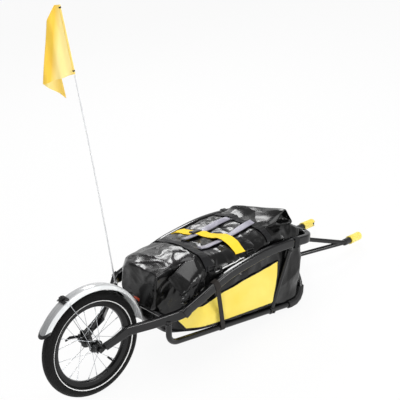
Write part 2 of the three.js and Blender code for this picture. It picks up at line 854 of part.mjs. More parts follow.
function lowerBridge() {
  const { x, y: reach } = loopPoint(bridgeHeight);
  const tube = crossTube(x, bridgeHeight, bridgeRadius, reach);
  const body = joined(tube, lug(x, lowerLugBottom));
  return carved(body, cradleTube(1, gap), cradleTube(-1, gap));
}

// The bar behind the bag joins the stays and carries the fender's front end
function rearBar() {
  const bar = crossTube(rearBarX, rearBarHeight, crossTubeRadius, frameHalfWidth);
  const towards = vector(rearBarX, 0, rearBarHeight - wheelRadius);
  const reach = towards.length();
  towards.normalize();
  const block = rod(
    axleAt(0).addScaledVector(towards, fenderCrownRadius + fenderThickness / 2 + gap),
    axleAt(0).addScaledVector(towards, reach), fenderMountRadius,
  );
  const body = joined(bar, block);
  const outside = sides.map(([, side]) => {
    const inside = Math.abs(pointAt(stayRows(side), rearBarX).y);
    const beyond = box(
      vector(rearBarX - overrun, inside, rearBarHeight - overrun),
      vector(rearBarX + overrun, 2 * frameHalfWidth, rearBarHeight + overrun),
    );
    return side > 0 ? beyond : beyond.rotateZ(Math.PI).translate(2 * rearBarX, 0, 0);
  });
  return carved(body, beam(stayRows(1), gap), beam(stayRows(-1), gap), ...outside);
}

// Rubber feet wrap the cradle's front bends and are flat where they stand
function foot(side) {
  const sleeve = bentTube(footCorners(side), [cradleFrontBend], footRadius);
  const reach = 2 * frameHalfWidth;
  const ground = box(vector(0, -reach, -2 * overrun), vector(2 * crossbarX, reach, 0));
  level.updateMatrix();
  ground.applyMatrix4(level.matrix.clone().invert());
  const above = box(vector(0, -reach, footTop), vector(2 * crossbarX, reach, 2 * crossbarHeight));
  return carved(sleeve, cradleTube(side, gap), ground, above);
}

for (const [name, side] of sides) {
  add(level, `dropout_${name}`, dropout(side), 'frame');
  add(level, `stay_${name}`, hollowBeam(stayRows(side), beamWall), 'frame');
  add(level, `rail_${name}`, rail(side), 'frame');
  add(level, `cradle_tube_${name}`, carved(
    cradleTube(side), beam(stayRows(side), gap), crossbarBlock(gap),
    box(
      vector(0, -frameHalfWidth, crossbarHeight - gap),
      vector(2 * crossbarX, frameHalfWidth, 2 * crossbarHeight),
    ),
  ), 'frame');
  add(level, `strut_${name}`, strut(side), 'frame');
  add(level, `foot_${name}`, foot(side), 'rubber');
}
add(level, 'axle', axle(), 'silver');
add(level, 'skewer_rod', skewer(), 'silver');
add(level, 'skewer_nut', skewerNut(), 'plastic');
add(level, 'skewer_lever', skewerLever(), 'plastic');
add(level, 'front_crossbar', frontCrossbar(), 'frame');
add(level, 'lower_bridge', lowerBridge(), 'frame');
add(level, 'rear_bar', rearBar(), 'frame');
const floorTube = crossTube(
  floorTubeX, cradleHeight(floorTubeX), crossTubeRadius, cradleHalfWidth - cradleRadius / 2,
);
add(level, 'floor_tube', carved(floorTube, cradleTube(1, gap), cradleTube(-1, gap)), 'frame');

// Steering pivot: a pin through both lugs, with bushes in the yoke's head tube
function pivotPin() {
  const bottom = lowerLugBottom;
  const seat = upperLugBottom + lugThickness + gap;
  return turned([
    [0, bottom], [pivotPinRadius, bottom], [pivotPinRadius, seat], [pivotPinHeadRadius, seat],
    [pivotPinHeadRadius, seat + pivotPinHeadHeight], [0, seat + pivotPinHeadHeight],
  ]).rotateX(Math.PI / 2).translate(pivotX, 0, 0);
}

function bush(end, sign) {
  const [inner, outer, flange] = [pivotPinRadius + gap, headTubeBore - gap, headTubeRadius];
  const face = end + sign * gap;
  return turned([
    [inner, end - sign * bushLength], [outer, end - sign * bushLength], [outer, face], [flange, face],
    [flange, face + sign * bushFlange], [inner, face + sign * bushFlange],
  ]).rotateX(Math.PI / 2);
}

add(level, 'pivot_pin', pivotPin(), 'silver');

// Yoke: two arms, each of an upper and a lower tube that meet at the hitch
yoke.position.set(pivotX, 0, 0);
yoke.rotation.z = radians(yokeAngle);

function headTube() {
  return turned([
    [headTubeBore, headTubeBottom], [headTubeRadius, headTubeBottom],
    [headTubeRadius, headTubeTop], [headTubeBore, headTubeTop],
  ]).rotateX(Math.PI / 2);
}

// A lathe about the hitch's own axis, which points forwards
function hitchTurned(profile, side) {
  return turned(profile).rotateZ(-Math.PI / 2)
    .translate(hitchStart, side * hitchHalfSpacing, hitchHeight);
}

const socketEnd = socketLength;
const coreEnd = socketLength + coreLength;

function hitchBlank(side, growth = 0) {
  const back = Array.from({ length: 4 }, (_, i) => {
    const angle = Math.PI / 2 * i / 4;
    return [(socketRadius + growth) * Math.sin(angle), -(socketRadius + growth) * Math.cos(angle)];
  });
  return hitchTurned([
    ...back, [socketRadius + growth, 0], [socketRadius + growth, socketEnd + growth],
    [coreRadius + growth, socketEnd + growth], [coreRadius + growth, coreEnd + growth], [0, coreEnd + growth],
  ], side);
}

// The bicycle's axle end drops into a slot near the tip, open at the bottom and on the inner side
function hitchBody(side) {
  const slotX = hitchStart + coreEnd - axleSlotFromTip;
  const half = axleSlotWidth / 2;
  const slot = box(
    vector(slotX - half, side * hitchHalfSpacing - overrun, hitchHeight - overrun),
    vector(slotX + half, side * hitchHalfSpacing + overrun, hitchHeight),
  );
  const seat = rod(
    vector(slotX, side * hitchHalfSpacing - overrun, hitchHeight),
    vector(slotX, side * hitchHalfSpacing + overrun, hitchHeight), half,
  );
  return carved(hitchBlank(side), slot, seat);
}

// The sleeve covers the slot, and slides back over the socket to free the axle
function hitchSleeve(side) {
  const start = socketEnd + gap;
  const end = start + sleeveLength;
  const lip = end - sleeveLip;
  const round = flangeThickness;
  const shell = hitchTurned([
    [socketRadius + gap, start], [sleeveRadius, start], [sleeveRadius, end - round],
    [sleeveRadius - round, end], [coreRadius + gap, end], [coreRadius + gap, lip],
    [socketRadius + gap, lip],
  ], side);
  const inward = -side * sleeveRadius;
  const notch = box(
    vector(hitchStart + end - sleeveNotchLength, Math.min(0, 2 * inward), hitchHeight - sleeveNotchWidth / 2),
    vector(hitchStart + end + overrun, Math.max(0, 2 * inward), hitchHeight + sleeveNotchWidth / 2),
  ).translate(0, side * hitchHalfSpacing, 0);
  return carved(shell, notch);
}

function armTube(side, height, growth = 0) {
  const end = vector(hitchStart, side * hitchHalfSpacing, hitchHeight);
  return rod(vector(0, 0, height), end, armRadius + growth);
}

function arm(side, height, neighbour) {
  const [bottom, top] = [vector(0, 0, headTubeBottom - overrun), vector(0, 0, headTubeTop + overrun)];
  const head = rod(bottom, top, headTubeRadius + gap, turnedSides);
  const otherSide = box(vector(-overrun, 0, 0), vector(hitchStart, overrun, crossbarHeight))
    .translate(0, side > 0 ? -overrun + gap / 2 : -gap / 2, 0);
  const cutters = [head, otherSide, hitchBlank(side, gap)];
  if (neighbour) cutters.push(armTube(side, neighbour, gap));
  return carved(armTube(side, height), ...cutters);
}

add(yoke, 'head_tube', headTube(), 'frame');
add(yoke, 'pivot_bush_upper', bush(headTubeTop, 1), 'plastic');
add(yoke, 'pivot_bush_lower', bush(headTubeBottom, -1), 'plastic');
for (const [name, side] of sides) {
  add(yoke, `arm_upper_${name}`, arm(side, armUpperHeight), 'frame');
  add(yoke, `arm_lower_${name}`, arm(side, armLowerHeight, armUpperHeight), 'frame');
  add(yoke, `hitch_body_${name}`, hitchBody(side), 'plastic');
  add(yoke, `hitch_sleeve_${name}`, hitchSleeve(side), 'yellowPlastic');
}

// Fender: a crowned strip around the wheel, drawn by angle from straight ahead
function crownOutline(outward, thickness) {
  const half = fenderWidth / 2 + outward;
  const across = [-1, -0.8, -0.5, 0, 0.5, 0.8, 1];
  const radius = (share) => fenderCrownRadius - fenderCrownRise * Math.abs(share) ** 2.6;
  const crown = (share, offset) => new THREE.Vector2(
    share * (half + offset), radius(share) + outward + offset,
  );
  const inner = across.map((share) => crown(share, -thickness / 2));
  const outer = [...across].reverse().map((share) => crown(share, thickness / 2));
  return [...inner, ...outer];
}

function crownStrip(fromAngle, toAngle, steps, outline) {
  const stations = Array.from({ length: steps + 1 }, (_, i) => {
    const angle = radians(fromAngle + (toAngle - fromAngle) * i / steps);
    return { origin: axleAt(0), side: vector(0, 1, 0), up: polar(angle, 1), outline };
  });
  return loft(stations);
}

const anglePer = (length) => THREE.MathUtils.radToDeg(length / fenderCrownRadius);
const fenderOutline = crownOutline(0, fenderThickness);

function fenderTip() {
  const start = fenderRearAngle + anglePer(gap);
  const outline = crownOutline(0, fenderThickness + fenderTipGrowth);
  return crownStrip(start, start + anglePer(fenderTipLength), 2, outline);
}

// A clamp over the fender with an ear on each side for the stays, and a post for a lamp on top
const earSide = fenderWidth / 2 + fenderClampThickness * 1.5;
const clampAxis = polar(radians(fenderClampAngle), 1);
const clampPoint = (y, radius) => axleAt(y).addScaledVector(clampAxis, radius);

function fenderClamp() {
  const half = anglePer(fenderClampLength) / 2;
  const lift = fenderThickness / 2 + gap + fenderClampThickness / 2;
  const section = crownOutline(lift, fenderClampThickness);
  const strap = crownStrip(fenderClampAngle - half, fenderClampAngle + half, 2, section);
  const ears = sides.map(([, side]) => beam([fenderLipRadius, fenderCrownRadius + fenderEarHeight].map(
    (radius) => ({
      at: clampPoint(side * earSide, radius),
      width: fenderClampThickness,
      height: fenderClampLength / 2,
      corner: fenderClampThickness / 3,
    }),
  )));
  const post = rod(
    clampPoint(0, fenderCrownRadius + lift), clampPoint(0, fenderCrownRadius + fenderEarHeight),
    fenderClampThickness * 2,
  );
  return carved(joined(strap, post, ...ears), crownStrip(
    fenderClampAngle - 2 * half, fenderClampAngle + 2 * half, 6, crownOutline(0, fenderThickness + 2 * gap),
  ));
}

function fenderStay(side) {
  const outside = earSide + fenderClampThickness / 2 + gap + stayWireRadius;
  const top = clampPoint(side * outside, fenderCrownRadius + fenderEarHeight / 2);
  const bottom = stayEye(side).setY(side * (dropoutOut + 2 * stayWireRadius));
  return rod(bottom, top, stayWireRadius, 8);
}

add(level, 'fender', crownStrip(fenderFrontAngle, fenderRearAngle, fenderSteps, fenderOutline), 'fender');
add(level, 'fender_tip', fenderTip(), 'plastic');
add(level, 'fender_clamp', fenderClamp(), 'plastic');
for (const [name, side] of sides) add(level, `fender_stay_${name}`, fenderStay(side), 'silver');

// Flag: its pole stands in a socket on the rear bar's left end, and lifts out
const poleFoot = vector(
  rearBarX - crossTubeRadius - socketTubeRadius - gap, poleSide, rearBarHeight + socketFloor,
);
const poleTop = vector(poleTopX, poleSide, poleTopHeight);
const poleCurve = new THREE.QuadraticBezierCurve3(
  poleFoot, vector(poleBendX, poleSide, poleBendHeight), poleTop,
);

function flagSocket() {
  const along = poleCurve.getTangent(0);
  const floor = poleFoot.clone().addScaledVector(along, -socketFloor);
  const top = poleFoot.clone().addScaledVector(along, socketTubeLength);
  const half = socketTubeLength / 4;
  const ring = rod(
    vector(rearBarX, poleSide - half, rearBarHeight), vector(rearBarX, poleSide + half, rearBarHeight),
    crossTubeRadius + flangeThickness,
  );
  const bore = rod(
    poleFoot.clone().addScaledVector(along, -gap), top.clone().addScaledVector(along, overrun),
    poleRadius + gap,
  );
  const bar = crossTube(rearBarX, rearBarHeight, crossTubeRadius + gap, frameHalfWidth);
  return carved(joined(rod(floor, top, socketTubeRadius), ring), bore, bar);
}

function pole() {
  const circle = Array.from({ length: poleSides }, (_, i) => {
    const angle = 2 * Math.PI * i / poleSides;
    return new THREE.Vector2(poleRadius * Math.cos(angle), poleRadius * Math.sin(angle));
  });
  return new THREE.ExtrudeGeometry(new THREE.Shape(circle), {
    steps: poleSteps, extrudePath: poleCurve, bevelEnabled: false,
  });
}

// The flag is a triangle whose bottom edge slopes a little. It hangs limp: the outer part is folded
// back behind the rest along a slanting line, and two shallow waves run down it.
const flagTop = poleCurve.getPoint(1 - flagHoistDrop / poleCurve.getLength());
const flagFoot = poleCurve.getPoint(1 - (flagHoistDrop + flagHoist) / poleCurve.getLength());
const flagDown = flagFoot.clone().sub(flagTop).normalize();
const flagFly = vector(Math.cos(radians(flagDirection)), Math.sin(radians(flagDirection)), 0);
flagFly.addScaledVector(flagDown, -flagFly.dot(flagDown)).normalize();
const flagBehind = flagDown.clone().cross(flagFly).normalize();
const flagOrigin = flagTop.clone().addScaledVector(flagFly, poleRadius + flagThickness + flagClipGap);

function flagWidthAt(down) {
  return flagTopWidth + (flagFoldReach + flagFoldedBack - flagTopWidth) * down / flagHoist;
}

// The bottom edge slopes down away from the pole, and the rows above it less and less
function flatDrop(down, reach) {
  return down * (1 + reach * Math.tan(radians(flagBottomSlope)) / flagHoist);
}

const foldTop = new THREE.Vector2(flagFoldTopDrop, flagWidthAt(flagFoldTopDrop));
const foldFoot = new THREE.Vector2(flatDrop(flagHoist, flagFoldReach), flagFoldReach);
const foldLine = foldFoot.clone().sub(foldTop).normalize();
const foldOutward = new THREE.Vector2(-foldLine.y, foldLine.x);

function foldReachAt(down) {
  return foldTop.y + (foldFoot.y - foldTop.y) * (down - foldTop.x) / (foldFoot.x - foldTop.x);
}

// A point of the cloth, given by its drop below the top and its reach from the pole along the cloth
function clothPoint(down, reach) {
  const offset = new THREE.Vector2(down, reach).sub(foldTop);
  const [along, past] = [offset.dot(foldLine), offset.dot(foldOutward)];
  const turn = THREE.MathUtils.clamp(past / flagFoldRadius, 0, Math.PI);
  const beyond = Math.max(0, past - Math.PI * flagFoldRadius);
  const outward = Math.min(past, 0) + flagFoldRadius * Math.sin(turn) - beyond;
  const flat = foldTop.clone().addScaledVector(foldLine, along).addScaledVector(foldOutward, outward);
  const phase = flat.y / flagWaveLength;
  const wave = flagWave * Math.sin(2 * Math.PI * phase) * Math.min(1, 2 * phase);
  return flagOrigin.clone().addScaledVector(flagDown, flat.x).addScaledVector(flagFly, flat.y)
    .addScaledVector(flagBehind, flagFoldRadius * (1 - Math.cos(turn)) + wave);
}

function flagColumns(down) {
  const width = flagWidthAt(down);
  const fold = Math.min(foldReachAt(down), 0.9 * width);
  const bend = Math.min(Math.PI * flagFoldRadius, 0.6 * (width - fold));
  return [
    ...Array.from({ length: flagFrontColumns }, (_, i) => fold * i / flagFrontColumns),
    ...Array.from({ length: flagBendColumns }, (_, i) => fold + bend * i / flagBendColumns),
    ...Array.from(
      { length: flagBackColumns + 1 }, (_, i) => between(fold + bend, width, i / flagBackColumns),
    ),
  ];
}

function flag() {
  const rows = Array.from({ length: flagRows + 1 }, (_, i) => {
    const down = flagHoist * i / flagRows;
    return flagColumns(down).map((reach) => clothPoint(flatDrop(down, reach), reach));
  });
  const columns = rows[0].length;
  const normalAt = (i, j) => {
    const across = rows[i][Math.min(j + 1, columns - 1)].clone().sub(rows[i][Math.max(j - 1, 0)]);
    const down = rows[Math.min(i + 1, flagRows)][j].clone().sub(rows[Math.max(i - 1, 0)][j]);
    return down.cross(across).normalize();
  };
  const face = (sign) => rows.flatMap((row, i) => row.map(
    (point, j) => point.clone().addScaledVector(normalAt(i, j), sign * flagThickness / 2),
  ));
  const points = [...face(1), ...face(-1)];
  const back = rows.length * columns;
  const index = [];
  const quad = (a, b, c, d) => index.push(a, b, c, a, c, d);
  for (let i = 0; i < flagRows; i += 1) {
    for (let j = 0; j + 1 < columns; j += 1) {
      const [a, d] = [i * columns + j, (i + 1) * columns + j];
      const [b, c] = [a + 1, d + 1];
      quad(a, b, c, d);
      quad(back + d, back + c, back + b, back + a);
    }
  }
  const rim = [];
  for (let j = 0; j + 1 < columns; j += 1) rim.push(j);
  for (let i = 0; i < flagRows; i += 1) rim.push(i * columns + columns - 1);
  for (let j = columns - 1; j > 0; j -= 1) rim.push(flagRows * columns + j);
  for (let i = flagRows; i > 0; i -= 1) rim.push(i * columns);
  rim.forEach((a, k) => {
    const b = rim[(k + 1) % rim.length];
    quad(b, a, back + a, back + b);
  });
  const geometry = new THREE.BufferGeometry().setFromPoints(points);
  geometry.setIndex(index);
  return geometry;
}

// A clip grips the pole and stands beside the flag's edge
function flagClip(drop) {
  const share = 1 - (flagHoistDrop + drop) / poleCurve.getLength();
  const middle = poleCurve.getPoint(share);
  const along = poleCurve.getTangent(share).multiplyScalar(flagClipLength / 2);
  const tube = (length, radius) => rod(
    middle.clone().addScaledVector(along, -length), middle.clone().addScaledVector(along, length), radius,
  );
  return carved(tube(1, poleRadius + flagThickness), tube(2, poleRadius + gap));
}

add(level, 'flag_socket', flagSocket(), 'frame');
add(level, 'flag_pole', pole(), 'pole');
add(level, 'flag', flag(), 'flag');
add(level, 'flag_clip_upper', flagClip(flagClipLength), 'plastic');
add(level, 'flag_clip_lower', flagClip(flagHoist - flagClipLength), 'plastic');

// Bag: a packed roll-top bag, as a closed body through sections along its length
const bagFloor = cradleRearHeight + crossTubeRadius + bagClearance;

// Each row is a share of the length, then shares of the half width and height: the floor's half width,
// the widest half width and its height, the top's half width, its edge's height and its middle's
const bagSectionShares = [
  [0, 0.5, 0.55, 0.36, 0.45, 0.57, 0.6],
  [0.03, 0.66, 0.7, 0.36, 0.56, 0.63, 0.67],
  [0.19, 0.78, 0.92, 0.48, 0.66, 0.7, 0.78],
  [0.3, 0.8, 0.96, 0.6, 0.7, 0.745, 0.845],
  [0.5, 0.81, 0.98, 0.7, 0.7, 0.83, 0.885],
  [0.75, 0.81, 0.98, 0.76, 0.72, 0.89, 0.935],
  [0.9, 0.8, 0.95, 0.76, 0.7, 0.93, 0.96],
  [0.97, 0.76, 0.86, 0.7, 0.6, 0.87, 0.89],
  [1, 0.66, 0.78, 0.62, 0.5, 0.78, 0.8],
];

// The roll's ends, from the right: shares of the bag's half width, length and height
const rollEndShares = [[-0.74, 0.895, 1.037], [0.74, 0.865, 0.88]];

// Shares of the bag's length and height
const panelShapeShares = [
  [0.105, 0.17], [0.178, 0.036], [0.44, 0.036], [0.783, 0.06],
  [0.802, 0.381], [0.791, 0.584], [0.38, 0.396], [0.115, 0.22],
];

const bagX = (share) => bagRearX + share * (bagFrontX - bagRearX);
const bagZ = (share) => bagFloor + share * bagHeight;

function grown(outline, growth) {
  return outline.map((point, i) => {
    const before = outline.at(i - 1);
    const after = outline[(i + 1) % outline.length];
    const first = point.clone().sub(before).normalize();
    const second = after.clone().sub(point).normalize();
    const miter = new THREE.Vector2(first.y + second.y, -first.x - second.x);
    return point.clone().addScaledVector(miter, growth / (1 + first.dot(second)));
  });
}

function bagSolid(growth = 0) {
  const stations = bagSectionShares.map(([along, floor, wide, wideUp, top, topUp, middleUp], i) => {
    const half = [
      [floor * 0.8, 0], [floor, 0.03], [between(floor, wide, 0.6), wideUp * 0.45], [wide, wideUp],
      [between(wide, top, 0.35), between(wideUp, topUp, 0.62)], [top, topUp], [top / 2, middleUp],
    ].map(([y, z]) => new THREE.Vector2(y * bagHalfWidth, z * bagHeight));
    const mirrored = half.map((point) => new THREE.Vector2(-point.x, point.y)).reverse();
    const outline = [...half, ...mirrored];
    const end = (i === bagSectionShares.length - 1 ? 1 : 0) - (i === 0 ? 1 : 0);
    return {
      origin: vector(bagX(along) + end * growth, 0, bagFloor), side: vector(0, 1, 0), up: vector(0, 0, 1),
      outline: grown(outline, growth),
    };
  });
  return loft(stations);
}

function bagTopAt(x) {
  const share = (x - bagRearX) / (bagFrontX - bagRearX);
  const next = bagSectionShares.findIndex(([along]) => along >= share);
  const [low, high] = [bagSectionShares[next - 1], bagSectionShares[next]];
  return bagZ(between(low.at(-1), high.at(-1), (share - low[0]) / (high[0] - low[0])));
}

function bagBody() {
  const clearOfBar = crossTubeRadius + bagClearance;
  const behind = box(
    vector(bagRearX - overrun, -frameHalfWidth, 0),
    vector(rearBarX + clearOfBar, frameHalfWidth, rearBarHeight + clearOfBar),
  );
  const along = poleCurve.getTangent(0);
  const socket = rod(poleFoot, poleFoot.clone().addScaledVector(along, socketTubeLength + bagClearance),
    socketTubeRadius + bagClearance);
  return carved(joined(bagSolid(), bagRoll()), behind, socket, cradleTube(1, gap), cradleTube(-1, gap));
}

function bagPanel(side) {
  const outline = panelShapeShares.map(([along, up]) => new THREE.Vector2(bagX(along), bagZ(up)));
  const prism = new THREE.ExtrudeGeometry(new THREE.Shape(outline), {
    depth: frameHalfWidth, bevelEnabled: false,
  }).rotateX(Math.PI / 2);
  if (side > 0) prism.translate(0, frameHalfWidth, 0);
  return carved(shared(bagSolid(gap + panelThickness), prism), bagSolid(gap));
}

// The two grips lie flat on top of the bag
function handle(side, growth = 0) {
  const count = 6;
  const rows = Array.from({ length: count + 1 }, (_, i) => {
    const x = handleCentreX + handleLength * (i / count - 0.5);
    const height = bagTopAt(x) + gap + handleThickness / 2;
    return {
      at: vector(x, side * handleHalfSpacing, height),
      width: handleWidth, height: handleThickness, corner: handleThickness / 3,
    };
  });
  return beam(growth ? stretched(rows, growth) : rows, growth);
}

// Webbing over the bag and its handles, down to the side rails
function bagStrap(x, width) {
  const share = (x - bagRearX) / (bagFrontX - bagRearX);
  const cover = (growth) => joined(bagSolid(growth), handle(1, growth), handle(-1, growth));
  const slab = box(
    vector(x - width / 2, -frameHalfWidth, bagZ(share * strapFootRiseShare + strapFootRearShare)),
    vector(x + width / 2, frameHalfWidth, 2 * bagFloor + bagHeight),
  );
  return carved(shared(cover(gap + webbingThickness), slab), cover(gap));
}

// The rolled closure at the front of the bag's top
function bagRoll() {
  const rows = rollEndShares.map(([across, along, up]) => ({
    at: vector(bagX(along), across * bagHalfWidth, bagZ(up)), width: rollWidth, height: rollHeight,
    corner: rollHeight / 3,
  }));
  return beam(rows);
}

// A strap over the side panel, looped around the rail above and the cradle's tube below
const railPoint = (x, side) => pointAt(railRows(side), x);

function strapBand(start, end, outward) {
  return loft([start, end].map((origin) => ({
    origin, side: vector(1, 0, 0), up: outward,
    outline: roundedRectangle(sideStrapWidth, webbingThickness, webbingThickness / 3),
  })));
}

function sideStrap(side) {
  const top = railPoint(sideStrapTopX, side);
  const foot = vector(sideStrapFootX, side * cradleHalfWidth, cradleHeight(sideStrapFootX));
  const out = vector(0, side, 0);
  const half = sideStrapWidth / 2;
  const railLoopRows = [-half, half].map((along) => ({
    at: railPoint(sideStrapTopX + along, side), width: beamWidth, height: beamHeight, corner: beamCorner,
  }));
  const railLoop = carved(beam(railLoopRows, gap + webbingThickness), beam(railRows(side), gap));
  const grip = gap + webbingThickness;
  const tubeLoop = carved(
    rod(foot.clone().add(vector(-half, 0, 0)), foot.clone().add(vector(half, 0, 0)), cradleRadius + grip),
    cradleTube(side, gap),
  );
  const bandTop = top.clone().addScaledVector(out, beamWidth / 2 + gap + webbingThickness / 2)
    .add(vector(0, 0, -beamHeight / 4));
  const bandFoot = foot.clone().addScaledVector(out, cradleRadius + gap + webbingThickness / 2);
  const band = strapBand(bandTop, bandFoot, out);
  return carved(joined(railLoop, tubeLoop, band), beam(railRows(side), gap), cradleTube(side, gap));
}

add(level, 'bag_body', bagBody(), 'tarpaulin');
for (const [name, side] of sides) {
  add(level, `bag_panel_${name}`, bagPanel(side), 'yellowPanel');
  add(level, `bag_handle_${name}`, carved(handle(side), bagSolid(gap / 2)), 'reflective');
  add(level, `side_strap_${name}`, sideStrap(side), 'webbing');
}
add(level, 'bag_strap_rear', bagStrap(rearStrapX, rearStrapWidth), 'webbing');
add(level, 'bag_strap_front', bagStrap(frontStrapX, frontStrapWidth), 'yellowWebbing');

// Centred on the ground below its middle
trailer.updateMatrixWorld(true);
const bounds = new THREE.Box3().setFromObject(trailer, true);
trailer.position.set(-(bounds.min.x + bounds.max.x) / 2, -(bounds.min.y + bounds.max.y) / 2, -bounds.min.z);

export default trailer;
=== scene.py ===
import logging
import math
from collections.abc import Iterable, Sequence
from dataclasses import dataclass
from enum import Enum

import bmesh
import bpy
from mathutils import Matrix, Vector, noise
from mathutils.bvhtree import BVHTree


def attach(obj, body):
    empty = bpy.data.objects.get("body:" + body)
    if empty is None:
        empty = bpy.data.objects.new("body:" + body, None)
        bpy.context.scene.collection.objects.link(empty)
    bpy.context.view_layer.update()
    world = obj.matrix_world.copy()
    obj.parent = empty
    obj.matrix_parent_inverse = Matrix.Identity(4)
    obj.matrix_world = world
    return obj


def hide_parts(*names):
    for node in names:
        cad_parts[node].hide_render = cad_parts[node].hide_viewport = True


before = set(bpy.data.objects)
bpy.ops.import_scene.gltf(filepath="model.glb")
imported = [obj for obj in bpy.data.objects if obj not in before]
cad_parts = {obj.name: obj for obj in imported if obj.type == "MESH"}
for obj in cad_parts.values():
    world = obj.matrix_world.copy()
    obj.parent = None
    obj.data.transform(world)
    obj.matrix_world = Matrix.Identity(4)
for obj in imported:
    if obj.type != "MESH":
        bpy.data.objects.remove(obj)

LOG = logging.getLogger("trailer")
MM = 0.001
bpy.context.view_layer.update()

Thing = bpy.types.Object
Socket = bpy.types.NodeSocket
Place = Sequence[float]
Outline = list[tuple[float, float]]
Rows = tuple[tuple[float, ...], ...]
Colour = tuple[float, float, float, float]

# The towing position is level on the wheel; at rest the trailer tips nose-down onto its feet.
# Pieces are drawn in millimetres in the LEVEL, YOKE or WHEEL frame, and placed in their meshes.
AXLE_X = -0.57568
AXLE_Z = 0.198
TILT = math.radians(11.81526)
PIVOT_X = 0.931
YOKE_TURN = math.radians(9.9)
WHEEL = Matrix.Translation((AXLE_X, 0.0, AXLE_Z))
LEVEL = WHEEL @ Matrix.Rotation(TILT, 4, "Y") @ Matrix.Translation((0.0, 0.0, -AXLE_Z))
YOKE = LEVEL @ Matrix.Translation((PIVOT_X, 0.0, 0.0)) @ Matrix.Rotation(YOKE_TURN, 4, "Z")


class Side(Enum):
    """The two sides of the trailer, by the sign of Y."""

    RIGHT = -1
    LEFT = 1

    @property
    def word(self) -> str:
        """The side's name in lower case."""
        return self.name.lower()


class Body(Enum):
    """The moving bodies that pieces ride on."""

    FRAME = "frame"
    WHEEL = "wheel"
    YOKE = "yoke"
    FLAG = "flag_and_pole"


# Finishes

def linear(hex_code: str) -> Colour:
    """Turns six hex digits of sRGB into a linear colour."""
    parts = [int(hex_code[i:i + 2], 16) / 255 for i in (0, 2, 4)]
    bright = [c / 12.92 if c <= 0.04045 else ((c + 0.055) / 1.055) ** 2.4 for c in parts]
    return (*bright, 1.0)


@dataclass
class Graph:
    """A node tree, and the calls that add to it."""

    tree: bpy.types.NodeTree

    def fill(self, node: bpy.types.Node, values: dict) -> None:
        """Fills a node's properties and inputs.

        Args:
            node: The node.
            values: Properties by name, and inputs by name or number. A socket is linked.
        """
        for name, value in values.items():
            if isinstance(value, Socket):
                self.tree.links.new(value, node.inputs[name])
            elif isinstance(name, str) and hasattr(node, name):
                setattr(node, name, value)
            else:
                node.inputs[name].default_value = value

    def add(self, kind: str, values: dict | None = None, out: str | int = 0) -> Socket | None:
        """Adds a node.

        Args:
            kind: Its type, without the prefix.
            values: What fill takes.
            out: The output that is wanted.

        Returns:
            That output, or None from a node without any.
        """
        node = self.tree.nodes.new(f"ShaderNode{kind}")
        self.fill(node, values or {})
        return node.outputs[out] if len(node.outputs) else None

    def noise(self, place: Socket, size_mm: float, **settings: object) -> Socket:
        """Adds a noise whose blotches are about size_mm across."""
        values = {"Scale": 1000 / size_mm, "Detail": 4.0, "Vector": place, **settings}
        return self.add("TexNoise", values, "Fac")

    def wave(self, place: Socket, size_mm: float, way: str, **settings: object) -> Socket:
        """Adds bands across one direction, size_mm apart."""
        return self.add("TexWave", {"wave_type": "BANDS", "bands_direction": way,
                                    "Scale": 50 / size_mm, "Vector": place, **settings}, "Fac")

    def chart(self) -> Socket:
        """Gives the piece's own map: metres along and a share across."""
        return self.add("UVMap", {"uv_map": "strap"}, "UV")

    def part(self, vector: Socket, axis: str) -> Socket:
        """Gives one component of a vector."""
        return self.add("SeparateXYZ", {"Vector": vector}, axis)

    def math(self, operation: str, first: Socket, second: Socket | float = 0.0) -> Socket:
        """Joins two values by an operation."""
        return self.add("Math", {"operation": operation, 0: first, 1: second})

    def mix(self, share: Socket, first: Socket, second: Socket | Colour) -> Socket:
        """Mixes two colours by a share of the second."""
        return self.add("Mix", {"data_type": "RGBA", 0: share, 6: first, 7: second}, 2)

    def ramp(self, source: Socket, stops: Sequence[tuple[float, Colour]]) -> Socket:
        """Turns a value into a colour, by colours at two or more positions."""
        node = self.tree.nodes.new("ShaderNodeValToRGB")
        self.fill(node, {"Fac": source})
        elements = node.color_ramp.elements
        for element, (position, colour) in zip(list(elements), (stops[0], stops[-1])):
            element.position, element.color = position, colour
        for position, colour in stops[1:-1]:
            elements.new(position).color = colour
        return node.outputs["Color"]

    def bumps(self, heights: Iterable[tuple[Socket, float]]) -> Socket:
        """Chains a bump for each height and its depth in millimetres."""
        values = {}
        for source, depth in heights:
            values |= {"Strength": 1.0, "Distance": depth * MM, "Height": source}
            values["Normal"] = self.add("Bump", values)
        return values["Normal"]


